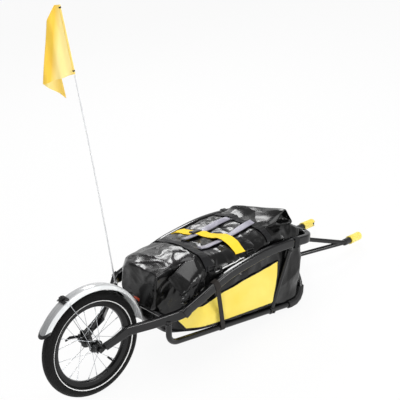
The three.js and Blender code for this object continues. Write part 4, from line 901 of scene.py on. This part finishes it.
@dataclass
class Frame:
    """The frame's tubes: side beams, cradle, struts, with weld beads where they meet."""

    half_width: float = 198.0
    beam_width: float = 24.0
    beam_height: float = 35.0
    front_height: float = 34.0
    joint_x: float = 262.0
    joint_height: float = 321.0
    crossbar_x: float = 890.0
    crossbar_height: float = 462.0
    bend: float = 45.0
    tie_x: float = 795.0
    stay_inner: float = 57.0
    stay_start: float = 17.1
    cradle_radius: float = 11.0
    strut_radius: float = 8.5
    rail_rise: Rows = (
        (0, 0), (0.1, 0.19), (0.19, 0.37), (0.275, 0.53), (0.38, 0.69), (0.52, 0.83),
        (0.67, 0.95), (0.82, 1), (1, 1))
    # Shares of the stay's length, of its way out and of its rise
    stay_course: Rows = (
        (0, 0, 0.05), (0.18, 0.03, 0.22), (0.32, 0.07, 0.37), (0.38, 0.13, 0.43),
        (0.64, 0.52, 0.64), (0.86, 0.87, 0.87), (0.93, 0.96, 0.945), (1, 1, 1))

    def rail_rows(self, sign: int) -> list[BeamRow]:
        """Gives the side rail's stations up to the crossbar's end."""
        start, end = self.joint_x + 0.3, self.crossbar_x - self.bend
        rise = self.crossbar_height - self.joint_height
        rows = cubic_rows([
            BeamRow(Vector((start + a * (end - start), sign * self.half_width,
                            self.joint_height + b * rise)), self.beam_width,
                    self.beam_height + a * (self.front_height - self.beam_height))
            for a, b in self.rail_rise], 5)
        for k in range(1, 13):
            cos, sin = math.cos(k / 24 * math.pi), math.sin(k / 24 * math.pi)
            at = Vector((end + self.bend * sin, sign * (self.half_width - self.bend * (1 - cos)),
                         self.crossbar_height))
            facing = Vector((cos, -sign * sin, 0))
            rows.append(BeamRow(at, self.beam_width, self.front_height, facing))
        return rows

    def stay_rows(self, sign: int) -> list[BeamRow]:
        """Gives the rear stay's stations from the dropout to the collar."""
        inner, start, low = self.stay_inner, self.stay_start, AXLE_Z / MM
        rows = []
        for i, (along, out, rise) in enumerate(self.stay_course):
            full = min(1.0, i / 2)
            width = 14 + full * 4 + ((self.beam_width - 18) * (i - 4) / 3 if i > 4 else 0)
            reach = self.half_width - self.beam_width / 2 - inner
            at = Vector((start + along * (self.joint_x - start),
                         sign * (inner + width / 2 + out * reach),
                         low + rise * (self.joint_height - low)))
            rows.append(BeamRow(at, width, 26 + full * (self.beam_height - 26)))
        return cubic_rows(rows, 6)

    def build(self) -> None:
        """Builds both sides and what joins them."""
        for side in Side:
            self.build_side(side.value, side.word)
        seams = []
        outline = rounded_outline(self.beam_width + 1.4, self.front_height + 1.4, 7.5, 4)
        for side in Side:
            y = side.value * (self.half_width - self.bend)
            ring = [(self.crossbar_x + a, y, self.crossbar_height + b)
                    for a, b in outline + outline[:1]]
            seams.append(tube(ring, 1.3, LEVEL, 8))
        complete("crossbar_welds", seams, PAINT)
        for side in Side:
            self.build_tie(side)

    def build_side(self, sign: int, word: str) -> None:
        """Builds one rail, stay, cradle tube and strut."""
        collar = [BeamRow(Vector((x, sign * self.half_width, z)), self.beam_width, self.beam_height)
                  for x, z in ((253, 314), (255, 315.6), (268, 325), (270, 326.6))]
        complete(f"rail_{word}_tube", [beam(self.rail_rows(sign), 7.0), beam(collar, 8.0, 2.6)],
                 PAINT, [f"rail_{word}"], angle=35)
        complete(f"stay_{word}_tube", [beam(self.stay_rows(sign), 5.5)], PAINT,
                 [f"stay_{word}"], angle=35)
        corners = [(211, sign * 171, 291), (222, sign * 160, 194), (912, sign * 160, 185),
                   (892, sign * 38, 462)]
        parts = [tube(filleted(corners, [45, 75]), self.cradle_radius, LEVEL),
                 weld_bead((212.5, sign * 169, 277), Vector((0.12, 0.12 * sign, -1)), 11.5, LEVEL)]
        complete(f"cradle_{word}_tube", parts, PAINT, [f"cradle_tube_{word}"])
        foot, top = Vector((728, sign * 160, 187.4)), Vector((778, sign * 197, 452))
        along = (top - foot).normalized()
        clasp = [foot + Vector(at)
                 for at in ((-11, 0, 0.2), (-10, 0, 0.2), (10, 0, -0.2), (11, 0, -0.2))]
        bolt = [foot + Vector((0, sign * 12, -4)), foot + Vector((0, sign * 18, -5))]
        parts = [tube([foot, top - along * 6], self.strut_radius, LEVEL),
                 tube(clasp, [14.2, 15.2, 15.2, 14.2], LEVEL), tube(bolt, 4.0, LEVEL, 6),
                 weld_bead(top - along * 21, along, 9.4, LEVEL)]
        complete(f"strut_{word}_tube", parts, PAINT, [f"strut_{word}"])

    def build_tie(self, side: Side) -> None:
        """Wraps the bag's front tie round a rail, where the shell hangs from it."""
        y, z = side.value * self.half_width, self.crossbar_height - 0.5
        half, tall = self.beam_width / 2 + 1.6, self.front_height / 2 + 2.0
        ring = [(half, tall), (half, -tall), (-half, -tall), (-half, tall), (half, tall)]
        grid = [[Vector((self.tie_x + w, y + a * side.value, z + b)) for w in (-12, -6, 0, 6, 12)]
                for a, b in ring]
        tie = loft(grid, LEVEL, closed=False, chart=True)
        thicken(tie, 2.0)
        apply_modifier(tie, "BEVEL", width=0.6 * MM, segments=2)
        outward(tie)
        complete(f"rail_tie_{side.word}", [tie], BLACK_WEBBING)


@dataclass
class Yoke:
    """The steering yoke: head tube and two braced arms."""

    head_bottom: float = 277.3
    head_top: float = 410.7
    bore: float = 14.0
    head_radius: float = 19.0
    half_spacing: float = 118.0
    height: float = 322.0
    reach: float = 286.0
    arm_radius: float = 9.0
    upper_foot: float = 392.0
    lower_foot: float = 295.0

    def build(self) -> None:
        """Builds the head tube and the arms."""
        low, high, wide, soft = self.head_bottom, self.head_top, self.head_radius, 1.5
        rim = [(self.bore, low), (wide - soft, low), (wide, low + soft), (wide, high - soft),
               (wide - soft, high), (self.bore, high)]
        rings = [[(r * math.cos(a), r * math.sin(a), z) for r, z in rim] for a in circle(48)]
        complete("head_tube_shell", [loft(rings, YOKE, endless=True)], PAINT,
                 ["head_tube"], Body.YOKE, 35)
        for side in Side:
            end = Vector((self.reach, side.value * self.half_spacing, self.height))
            for level, height in (("upper", self.upper_foot), ("lower", self.lower_foot)):
                foot = Vector((0, 0, height))
                along = (end - foot).normalized()
                parts = [tube([foot + along * 15, end], self.arm_radius, YOKE),
                         weld_bead(foot + along * 20, along, 9.6, YOKE, 1.6, 14, 0.4, 40)]
                complete(f"arm_{level}_{side.word}_tube", parts, PAINT,
                         [f"arm_{level}_{side.word}"], Body.YOKE)


@dataclass(frozen=True)
class Strap:
    """A band across the bag, by degrees about the bag's middle, up from its right side."""

    name: str
    x: float
    width: float
    first: float
    last: float
    stand: float
    finish: Finish = BLACK_WEBBING
    slot: str = "webbing"
    replaced: tuple[str, ...] = ()
    # Where it passes over something: degrees, spread and height
    humps: Rows = ()
    # Where it runs aslant: from which angle, and how far a degree
    drift_from: float = 180.0
    drift: float = 0.0

    def lift(self, degrees: float) -> float:
        """Gives the extra height at an angle."""
        return sum(rise * math.exp(-((degrees - at) / spread) ** 2)
                   for at, spread, rise in self.humps)

    def middle(self, degrees: float) -> float:
        """Gives the middle's place along the bag at an angle."""
        return self.x + self.drift * max(0.0, degrees - self.drift_from)


@dataclass
class Bag:
    """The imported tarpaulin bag: a lofted shell that sags, with folds, roll, panels and straps."""

    # x, floor height and half width, widest far, widest near and its height,
    # top far (y, z), top near (y, z), middle z
    sections: Rows = (
        (203, 306, 72, 82, 84, 350, 68, 416, 90, 422, 424),
        (204.5, 302, 84, 94, 97, 345, 80, 430, 104, 437, 437),
        (212, 300, 90, 102, 98, 343, 88, 434, 105, 440, 440),
        (228, 299, 98, 122, 99, 342, 110, 438, 104, 444, 444),
        (231, 228, 100, 126, 99, 342, 112, 439, 104, 445, 445),
        (242, 208, 106, 134, 99, 343, 118, 440, 103, 448, 448),
        (280, 202, 118, 152, 100, 346, 128, 442, 102, 456, 456),
        (322, 201, 134, 166, 103, 350, 134, 446, 102, 466, 468),
        (350, 200, 146, 173, 150, 376, 135, 450, 110, 474, 478),
        (375, 200, 152, 176, 175, 390, 136, 453, 126, 477, 483),
        (400, 200, 155, 177, 177, 400, 136, 454, 132, 477, 482),
        (432, 199, 156, 178, 178, 410, 135, 458, 132, 470, 471),
        (475, 199, 157, 178, 179, 418, 135, 468, 132, 473, 469),
        (543, 198, 158, 179, 180, 428, 134, 480, 132, 484, 479),
        (590, 197, 158, 179, 180, 436, 134, 488, 132, 492, 487),
        (640, 197, 158, 179, 180, 445, 134, 495, 132, 503, 502),
        (700, 196, 158, 179, 180, 450, 135, 502, 134, 514, 514),
        (780, 195, 158, 178, 179, 452, 134, 507, 136, 522, 522),
        (826, 194, 157, 176, 178, 442, 130, 505, 146, 516, 520),
        (856, 196, 154, 172, 176, 410, 124, 497, 156, 494, 506),
        (872, 202, 150, 164, 170, 372, 118, 482, 150, 484, 488))
    # y, then x and z of the roll's rear edge, ridge and front edge
    roll_rows: Rows = (
        (140, 728, 488, 772, 508, 806, 486), (132, 712, 496, 776, 523, 812, 492),
        (90, 698, 501, 780, 534, 822, 498), (0, 690, 509, 787, 551, 838, 505),
        (-80, 689, 515, 793, 567, 846, 510), (-118, 700, 517, 797, 576, 848, 512),
        (-134, 730, 526, 799, 578, 844, 518), (-138, 742, 532, 799, 576, 838, 524),
        (-134, 764, 540, 798, 568, 828, 532), (-108, 770, 540, 797, 562, 824, 532))
    # The hood's shoulder, brow, cheek and hem, from the rear strap backwards
    hood_lines: tuple[Rows, ...] = (
        ((366, -128, 470), (330, -112, 462), (298, -110, 447), (268, -112, 428), (246, -115, 414)),
        ((366, -168, 440), (332, -172, 430), (300, -175, 414), (276, -175, 398), (259, -172, 384)),
        ((366, -178, 402), (334, -180, 392), (302, -180, 380), (278, -178, 366), (262, -174, 362)),
        ((366, -176, 352), (336, -178, 345), (304, -178, 340), (280, -176, 338), (264, -171, 342)))
    # The side panel's edges, as x and z
    panel_bottom: Rows = ((318, 215), (500, 216), (722, 220), (728, 227))
    panel_right: Rows = ((728, 227), (736, 330), (729, 397))
    panel_top: Rows = ((276, 266), (455, 338), (729, 397))
    panel_left: Rows = ((318, 215), (297, 242), (276, 266))
    straps: tuple[Strap, ...] = (
        Strap("rear_strap", 401, 42, 26, 154, 3.4, replaced=("bag_strap_rear",)),
        Strap("front_strap", 549, 46, 35, 142, 2.4, YELLOW_WEBBING, "yellow_webbing",
              ("bag_strap_front",), ((64, 13, 15), (107, 8, 11)), 84, -0.9),
        Strap("closure_strap", 690, 30, 37, 150, 3.0, humps=((68, 9, 9), (107, 8, 8))))
    middle_height: float = 350.0
    hood_thickness: float = 2.6
    panel_thickness: float = 1.2
    strap_thickness: float = 2.0
    piping_radius: float = 2.1
    surface: BVHTree | None = None

    def half_ring(self, sign: int, x: float, low: float, foot: float, wide: float, wide_z: float,
                  top: float, top_z: float, middle: float) -> list[tuple[float, float, float]]:
        """Gives one half of a section's ring, from the floor's middle up to the top's."""
        half = [(foot * 0.8, low), (foot, low), (foot * 1.045, low + 8),
                (foot + (wide - foot) * 0.72, low + (wide_z - low) * 0.4), (wide, wide_z),
                (wide + (top - wide) * 0.3, wide_z + (top_z - wide_z) * 0.62),
                (top + (wide - top) * 0.07, top_z - 7), (top - 6, top_z + 1),
                (top * 0.5, top_z * 0.35 + middle * 0.65)]
        return [(x, sign * y, z) for y, z in half]

    def build(self) -> None:
        """Builds the shell, its roll and hood, panels, straps and trim."""
        shell = self.build_shell()
        self.surface = level_tree(shell)
        parts = [shell, self.build_roll(), self.build_hood()]
        body = complete("bag_shell", parts, TARPAULIN, ["bag_body"], angle=60)
        self.surface = level_tree(body)
        for side in Side:
            self.build_panel(side.value, side.word)
        for strap in self.straps:
            self.build_strap(strap)
        self.build_grips()
        self.build_trim()

    def build_shell(self) -> Thing:
        """Smooths the coarse rings and folds their surface."""
        rings = []
        for x, low, foot, far, near, wide_z, far_top, far_z, near_top, near_z, mid in self.sections:
            rings.append([*self.half_ring(-1, x, low, foot, near, wide_z, near_top, near_z, mid),
                          (x, 0.0, mid),
                          *self.half_ring(1, x, low, foot, far, wide_z, far_top, far_z, mid)[::-1],
                          (x, 0.0, low)])
        shell = loft(rings, LEVEL)
        subdivide(shell, 3)
        back = LEVEL.inverted()
        normals = [vertex.normal.copy() for vertex in shell.data.vertices]
        for vertex, normal in zip(shell.data.vertices, normals):
            vertex.co += normal * (self.fold((back @ vertex.co) / MM) * MM)
        return shell

    def fold(self, at: Vector) -> float:
        """Gives how far the cloth stands out at a place, in millimetres."""
        long_folds = noise.noise(Vector((at.x / 120, at.y / 42, at.z / 55)))
        sharp = 1 - abs(noise.noise(Vector((at.x / 62, at.y / 70 + 9, at.z / 62)))) * 2.4
        fine = noise.noise(Vector((at.x / 24, at.y / 30, at.z / 26)))
        rise = 3.2 * long_folds + 4.68 * max(0.0, sharp - 0.45) + 0.9 * fine
        # The rear and the front strap draw it in
        rise -= 4.0 * math.exp(-((at.x - 400) / 17) ** 2) * (1 if at.z > 330 else 0.3)
        rise -= 4.0 * math.exp(-((at.x - 543) / 16) ** 2) * (1 if at.z > 380 else 0.2)
        if at.x > 800 and at.z < 470:
            rise += 3.0 * math.sin(at.y / 17 + 0.8 * math.sin(at.z / 30))
        return rise * min(1.0, max(0.0, (at.z - 215) / 40))

    def build_roll(self) -> Thing:
        """Builds the rolled closure: a soft ridge that leans on the bag's front top."""
        rings = []
        for y, rear, rear_z, ridge, ridge_z, front, front_z in self.roll_rows:
            rings.append([(rear, y, rear_z - 14), (rear, y, rear_z),
                          (rear + (ridge - rear) * 0.5, y, rear_z + (ridge_z - rear_z) * 0.42),
                          (ridge - 10, y, ridge_z - 4), (ridge, y, ridge_z),
                          (ridge + 6, y, ridge_z - 6),
                          (ridge + (front - ridge) * 0.5, y, ridge_z - (ridge_z - front_z) * 0.6),
                          (front, y, front_z), (front, y, front_z - 14)])
        roll = loft(rings, LEVEL)
        subdivide(roll, 3)
        back, turn = LEVEL.inverted(), LEVEL.to_3x3()
        for vertex in roll.data.vertices:
            at = (back @ vertex.co) / MM
            ripple = 3.0 * noise.noise(Vector((at.x / 30, at.y / 60, at.z / 40)))
            vertex.co += turn @ Vector((0, 0, ripple * MM))
        return roll

    def build_hood(self) -> Thing:
        """Builds the slack cloth behind the rear strap: a hood that stands out to the rail."""
        lines = [spline([Vector(point) for point in line], 7) for line in self.hood_lines]
        grid, columns = [], len(lines[0]) - 1
        for column in range(columns + 1):
            row = spline([line[column] for line in lines], 8)
            u = column / columns
            for j, point in enumerate(row):
                v = j / (len(row) - 1)
                crush = 9 * u * noise.noise(Vector((point.x / 20, v * 4.6, 3.0)))
                crush += 4 * u * math.sin(9 * u + 8 * v)
                crush += 3 * noise.noise(Vector((point.x / 9, v * 9, 5.0)))
                point += Vector((0.5 * crush, crush * (1 if j else 0.3), 0.6 * crush))
            grid.append(row)
        hood = loft(grid, LEVEL, closed=False)
        thicken(hood, self.hood_thickness)
        subdivide(hood, 1)
        return hood

    def side_point(self, x: float, z: float, sign: int, stand: float) -> Vector:
        """Gives the point on the bag's side at a place, a little proud of it."""
        place = self.surface.ray_cast(Vector((x, sign * 400, z)), Vector((0, -sign, 0)))[0]
        return Vector((x, (place.y if place else sign * 150) + sign * stand, z))

    def top_point(self, x: float, y: float, stand: float) -> Vector:
        """Gives the point above the bag's top at a place, a little proud of it."""
        place = self.surface.ray_cast(Vector((x, y, 700)), Vector((0, 0, -1)))[0]
        return Vector((x, y, (place.z if place else 480.0) + stand))

    def build_panel(self, sign: int, word: str) -> None:
        """Builds the bare yellow side panel and its black piping."""
        columns, rows = 72, 24
        bottom, top = self.panel_bottom, self.panel_top
        grid = []
        for v in (j / rows for j in range(rows + 1)):
            left, right = along_line(self.panel_left, v), along_line(self.panel_right, v)
            line = []
            for u in (i / columns for i in range(columns + 1)):
                low, high = along_line(bottom, u), along_line(top, u)
                x, z = [(1 - v) * low[k] + v * high[k] + (1 - u) * left[k] + u * right[k]
                        - (1 - u) * (1 - v) * bottom[0][k] - u * (1 - v) * bottom[-1][k]
                        - (1 - u) * v * top[0][k] - u * v * top[-1][k] for k in (0, 1)]
                line.append(self.side_point(x, max(z, 210), sign, 1.6))
            grid.append(line)
        grid = calm(grid, 3)
        panel = loft(grid, LEVEL, closed=False, chart=True)
        thicken(panel, self.panel_thickness)
        outward(panel)
        complete(f"side_panel_{word}", [panel], SIDE_CLOTH, [f"bag_panel_{word}"],
                 angle=60)
        rim = [*grid[0], *(row[-1] for row in grid[1:]), *grid[-1][-2::-1],
               *(row[0] for row in grid[-2::-1])]
        rim = [point + Vector((0, sign * 0.8, 0)) for point in rim]
        complete(f"panel_piping_{word}", [tube(rim, self.piping_radius, LEVEL, 10)], TARPAULIN)

    def build_strap(self, strap: Strap) -> None:
        """Drapes a strap across the bag."""
        steps, across = 90, 6
        grid = []
        for i in range(steps + 1):
            degrees = strap.first + (strap.last - strap.first) * i / steps
            angle = math.radians(degrees)
            way = Vector((0, -math.cos(angle), math.sin(angle)))
            lift = Vector((0, 0, strap.lift(degrees)))
            row = []
            for j in range(across + 1):
                x = strap.middle(degrees) + strap.width * (j / across - 0.5)
                centre = Vector((x, 0, self.middle_height))
                place = self.surface.ray_cast(centre + way * 400, -way)[0] or centre + way * 150
                row.append(place + way * strap.stand + lift)
            grid.append(row)
        band = loft(calm(grid, 4), LEVEL, closed=False, chart=True)
        thicken(band, self.strap_thickness)
        outward(band)
        complete(strap.name, [band], strap.finish, strap.replaced, angle=50)

    def build_grips(self) -> None:
        """Builds the two reflective grips, which arch over the bag's top."""
        shares = [k / 8 for k in range(9)]
        near = [self.top_point(434 + 262 * k, -65, 5 + 8 * k ** 1.5) for k in shares]
        far = [self.top_point(448 + 226 * k, 46, 5 + 6 * math.sin(k * math.pi)) for k in shares]
        outline = rounded_outline(27, 5.5, 2.5, 3)
        across = Vector((0, 1, 0))
        for side, phase, path in ((Side.RIGHT, 0, near), (Side.LEFT, 1.4, far)):
            line = spline(path, 6)
            rings = []
            for i, (at, way) in enumerate(zip(line, headings(line))):
                up = across.cross(way)
                twist = 0.22 * math.sin(i / len(line) * 5.0 + phase)
                wide = across * math.cos(twist) + up * math.sin(twist)
                deep = up * math.cos(twist) - across * math.sin(twist)
                rings.append([at + wide * a + deep * b for a, b in outline])
            complete(f"grip_{side.word}", [loft(rings, LEVEL, chart=True)], GREY_GRIP,
                     [f"bag_handle_{side.word}"], angle=50)

    def build_trim(self) -> None:
        """Builds white piping on the near shoulder, whose white is partly a painted highlight of
        the glossy fold there, buckles and rings, and the rear reflector.
        """
        # White piping along the near shoulder: partly real piping, partly a painted highlight of
        # the glossy fold beside the rail
        painted_highlight_line = [self.side_point(x, 424 + (x - 420) * 0.16, -1, 2.0) for x in range(420, 560, 6)]
        complete("shoulder_piping", [tube(painted_highlight_line, 2.4, LEVEL, 12)], WHITE_STRIPE)
        outline = rounded_outline(34, 20, 6, 4)
        parts = []
        for x, z in ((408, 436), (430, 430), (588, 462), (768, 466)):
            at = self.side_point(x, z, -1, 4.5)
            ring = [at + Vector((a, b * 0.25 - 1.5, b)) for a, b in outline + outline[:1]]
            parts += [tube(ring, 2.3, LEVEL, 10),
                      box_piece(at + Vector((0, -1.5, 0)), (32, 4, 4.4), 1.5)]
        tilt = Matrix.Rotation(math.radians(-8), 4, "X")
        parts.append(box_piece(self.top_point(519, 56, 13.0), (46, 24, 6), 2.0, tilt))
        complete("strap_buckles", parts, PLASTIC, angle=50)
        complete("rear_reflector", [box_piece((203, 4, 316), (3.5, 34, 11), 1.4)], RED_LENS)


@dataclass
class Flag:
    """The limp flag: a triangle folded back behind itself along a slanting line."""

    pole: tuple[Vector, ...] = (Vector((201.2, 120, 296)), Vector((96, 120, 836)),
                                Vector((-36, 120, 1366)))
    hoist: float = 240.0
    top_width: float = 14.0
    fold_reach: float = 104.0
    folded_back: float = 98.0
    fold_top_drop: float = 34.0
    slope: float = 10.0
    fold_radius: float = 4.0
    wave: float = 5.0
    wave_length: float = 52.0
    ruffle: float = 1.6
    cloth_thickness: float = 0.7
    sleeve_radius: float = 3.5
    ring_radius: float = 4.2
    direction: float = 140.0
    chart_width: float = 200.0
    rows: int = 60
    columns: int = 72

    def pole_at(self, share: float) -> Vector:
        """Gives a point of the pole's curve."""
        a, b, c = self.pole
        return a * (1 - share) ** 2 + b * 2 * share * (1 - share) + c * share ** 2

    def drop(self, down: float, reach: float) -> float:
        """Gives the flat cloth's own drop, with its sloping bottom edge."""
        return down * (1 + reach * math.tan(math.radians(self.slope)) / self.hoist)

    def width_at(self, down: float) -> float:
        """Gives the flat cloth's width at a drop below its top."""
        full = self.fold_reach + self.folded_back
        return self.top_width + (full - self.top_width) * down / self.hoist

    def build(self) -> None:
        length = sum((self.pole_at((k + 1) / 64) - self.pole_at(k / 64)).length for k in range(64))
        top, foot = self.pole_at(1 - 1 / length), self.pole_at(1 - (1 + self.hoist) / length)
        down_way = (foot - top).normalized()
        turn = math.radians(self.direction)
        fly = Vector((math.cos(turn), math.sin(turn), 0))
        fly = (fly - down_way * fly.dot(down_way)).normalized()
        behind = down_way.cross(fly).normalized()
        origin = top + fly * 3.4
        fold_top = Vector((self.fold_top_drop, self.width_at(self.fold_top_drop)))
        fold_foot = Vector((self.drop(self.hoist, self.fold_reach), self.fold_reach))
        line = (fold_foot - fold_top).normalized()
        across = Vector((-line.y, line.x))

        def folded(point: Vector) -> Vector:
            """Gives where a point of the flat cloth hangs."""
            offset = point - fold_top
            past = offset.dot(across)
            bend = min(max(past / self.fold_radius, 0), math.pi)
            beyond = max(0.0, past - math.pi * self.fold_radius)
            out = min(past, 0) + self.fold_radius * math.sin(bend) - beyond
            flat = fold_top + line * offset.dot(line) + across * out
            phase = flat.y / self.wave_length
            wave = self.wave * math.sin(2 * math.pi * phase) * min(1, 2 * phase)
            ruffle = noise.noise(Vector((flat.x / 60, flat.y / 16, 3.0)))
            wave += self.ruffle * ruffle * min(1, flat.y / 20)
            return origin + down_way * flat.x + fly * flat.y + behind * (
                self.fold_radius * (1 - math.cos(bend)) + wave)

        flat_rows = []
        for down in (self.hoist * i / self.rows for i in range(self.rows + 1)):
            reaches = [self.width_at(down) * j / self.columns for j in range(self.columns + 1)]
            flat_rows.append([Vector((self.drop(down, reach), reach)) for reach in reaches])
        grid = [[folded(point) for point in row] for row in flat_rows]
        flag = loft(grid, LEVEL, closed=False, chart=True)
        flat_points = [point for row in flat_rows for point in row]
        chart = flag.data.uv_layers["strap"].data
        for loop in flag.data.loops:
            from_fold = (flat_points[loop.vertex_index] - fold_top).dot(across)
            chart[loop.index].uv.y = 0.5 + from_fold / self.chart_width
        thicken(flag, self.cloth_thickness)
        complete("flag_cloth", [flag], FLAG_CLOTH, ["flag"], Body.FLAG, 60)
        self.build_hoist(length)

    def build_hoist(self, length: float) -> None:
        """Sews the sleeve that the pole runs through, and sets a small clip at each end of it."""
        line = [self.pole_at(1 - (1 + self.hoist * k / 24) / length) for k in range(25)]
        complete("flag_sleeve", [tube(line, self.sleeve_radius, LEVEL, 16)], FLAG_CLOTH,
                 body=Body.FLAG)
        for name, drop in (("upper", 9.0), ("lower", self.hoist - 12.0)):
            ends = [self.pole_at(1 - (1 + drop + half) / length) for half in (-2.5, 2.5)]
            complete(f"flag_ring_{name}", [tube(ends, self.ring_radius, LEVEL, 16)], PLASTIC,
                     [f"flag_clip_{name}"], Body.FLAG)


@dataclass
class Studio:
    """A pale floor, soft light and the camera at the photograph's angle."""

    # Name, place, where it looks, size and power
    lamps: tuple[tuple[str, Place, Place, float, float], ...] = (
        ("lamp_overhead", (0.1, 0.0, 3.0), (0.0, 0.0, 0.2), 2.0, 46.0),
        ("lamp_front", (-3.0, -2.4, 1.2), (-0.1, 0.0, 0.3), 0.9, 42.0),
        ("lamp_right", (1.4, -3.0, 1.3), (0.1, 0.0, 0.3), 0.9, 34.0),
        ("lamp_back", (1.6, 2.4, 2.4), (0.0, 0.0, 0.4), 0.9, 34.0))
    floor_size: float = 12.0
    floor_share: float = 0.92
    sky: float = 0.42
    lens: float = 93.8
    camera_at: Place = (-2.1073, -2.7243, 2.1902)
    camera_axes: tuple[Place, ...] = (
        (0.7474, -0.6524, -0.1255), (0.3737, 0.2568, 0.8913), (-0.5492, -0.7131, 0.4358))

    def build(self) -> None:
        """Builds floor, world, lamps and camera."""
        self.floor()
        self.world()
        for name, at, towards, size, power in self.lamps:
            data = bpy.data.lights.new(name, "AREA")
            data.size, data.energy = size, power
            turn = (Vector(towards) - Vector(at)).to_track_quat("-Z", "Y").to_matrix().to_4x4()
            self.put(name, data, Matrix.Translation(at) @ turn)
        data = bpy.data.cameras.new("camera")
        data.lens, data.sensor_width, data.clip_end = self.lens, 36.0, 50.0
        turn = Matrix(self.camera_axes).transposed().to_4x4()
        camera = self.put("camera", data, Matrix.Translation(self.camera_at) @ turn)
        bpy.context.scene.camera = camera

    def put(self, name: str, data: bpy.types.ID, place: Matrix) -> Thing:
        """Puts a lamp or camera in the scene."""
        made = bpy.data.objects.new(name, data)
        made.matrix_world = place
        bpy.context.scene.collection.objects.link(made)
        return made

    def rays(self, graph: Graph, glossy_share: Socket | None = None) -> Socket:
        """Tells the rays that see the white background: camera, glossy and transmission."""
        camera, glossy, through = (graph.add("LightPath", out=f"Is {kind} Ray")
                                   for kind in ("Camera", "Glossy", "Transmission"))
        if glossy_share:
            glossy = graph.math("MULTIPLY", glossy, glossy_share)
        return graph.math("MAXIMUM", graph.math("MAXIMUM", camera, glossy), through)

    def floor(self) -> None:
        """Lays a white floor that keeps a light shadow."""
        choose([])
        bpy.ops.mesh.primitive_plane_add(size=self.floor_size)
        ground = bpy.context.object
        ground.name = "floor"
        material = bpy.data.materials.new("studio_floor")
        material.use_nodes = True
        material.node_tree.nodes.clear()
        graph = Graph(material.node_tree)
        share = graph.math("MULTIPLY", self.rays(graph), self.floor_share)
        matt = graph.add("BsdfDiffuse", {"Color": (0.9, 0.9, 0.9, 1)})
        glow = graph.add("Emission", {"Color": (1, 1, 1, 1), "Strength": 1.0})
        mixed = graph.add("MixShader", {0: share, 1: matt, 2: glow})
        graph.add("OutputMaterial", {"Surface": mixed})
        ground.data.materials.append(material)

    def world(self) -> None:
        """Makes soft grey light, white to the camera and, near the horizon, in reflections."""
        world = bpy.data.worlds.new("studio")
        world.use_nodes = True
        world.node_tree.nodes.clear()
        graph = Graph(world.node_tree)
        height = graph.part(graph.add("TexCoord", out="Generated"), "Z")
        low = graph.add("MapRange", {"Value": height, "From Min": 0.12, "From Max": 0.5,
                                     "To Min": 1.0, "To Max": 0.0})
        light, white = (graph.add("Background", {"Color": (1, 1, 1, 1), "Strength": strength})
                        for strength in (self.sky, 1.0))
        mixed = graph.add("MixShader", {0: self.rays(graph, low), 1: light, 2: white})
        graph.add("OutputWorld", {"Surface": mixed})
        bpy.context.scene.world = world


def main() -> None:
    """Builds every sub-assembly."""
    logging.basicConfig(level=logging.INFO, format="%(name)s: %(message)s")
    bpy.context.scene.view_settings.view_transform = "Standard"
    for assembly in (Studio(), Carried(), Wheel(), Fender(), Frame(), Yoke(), Bag(), Flag()):
        assembly.build()


if __name__ == "__main__":
    main()
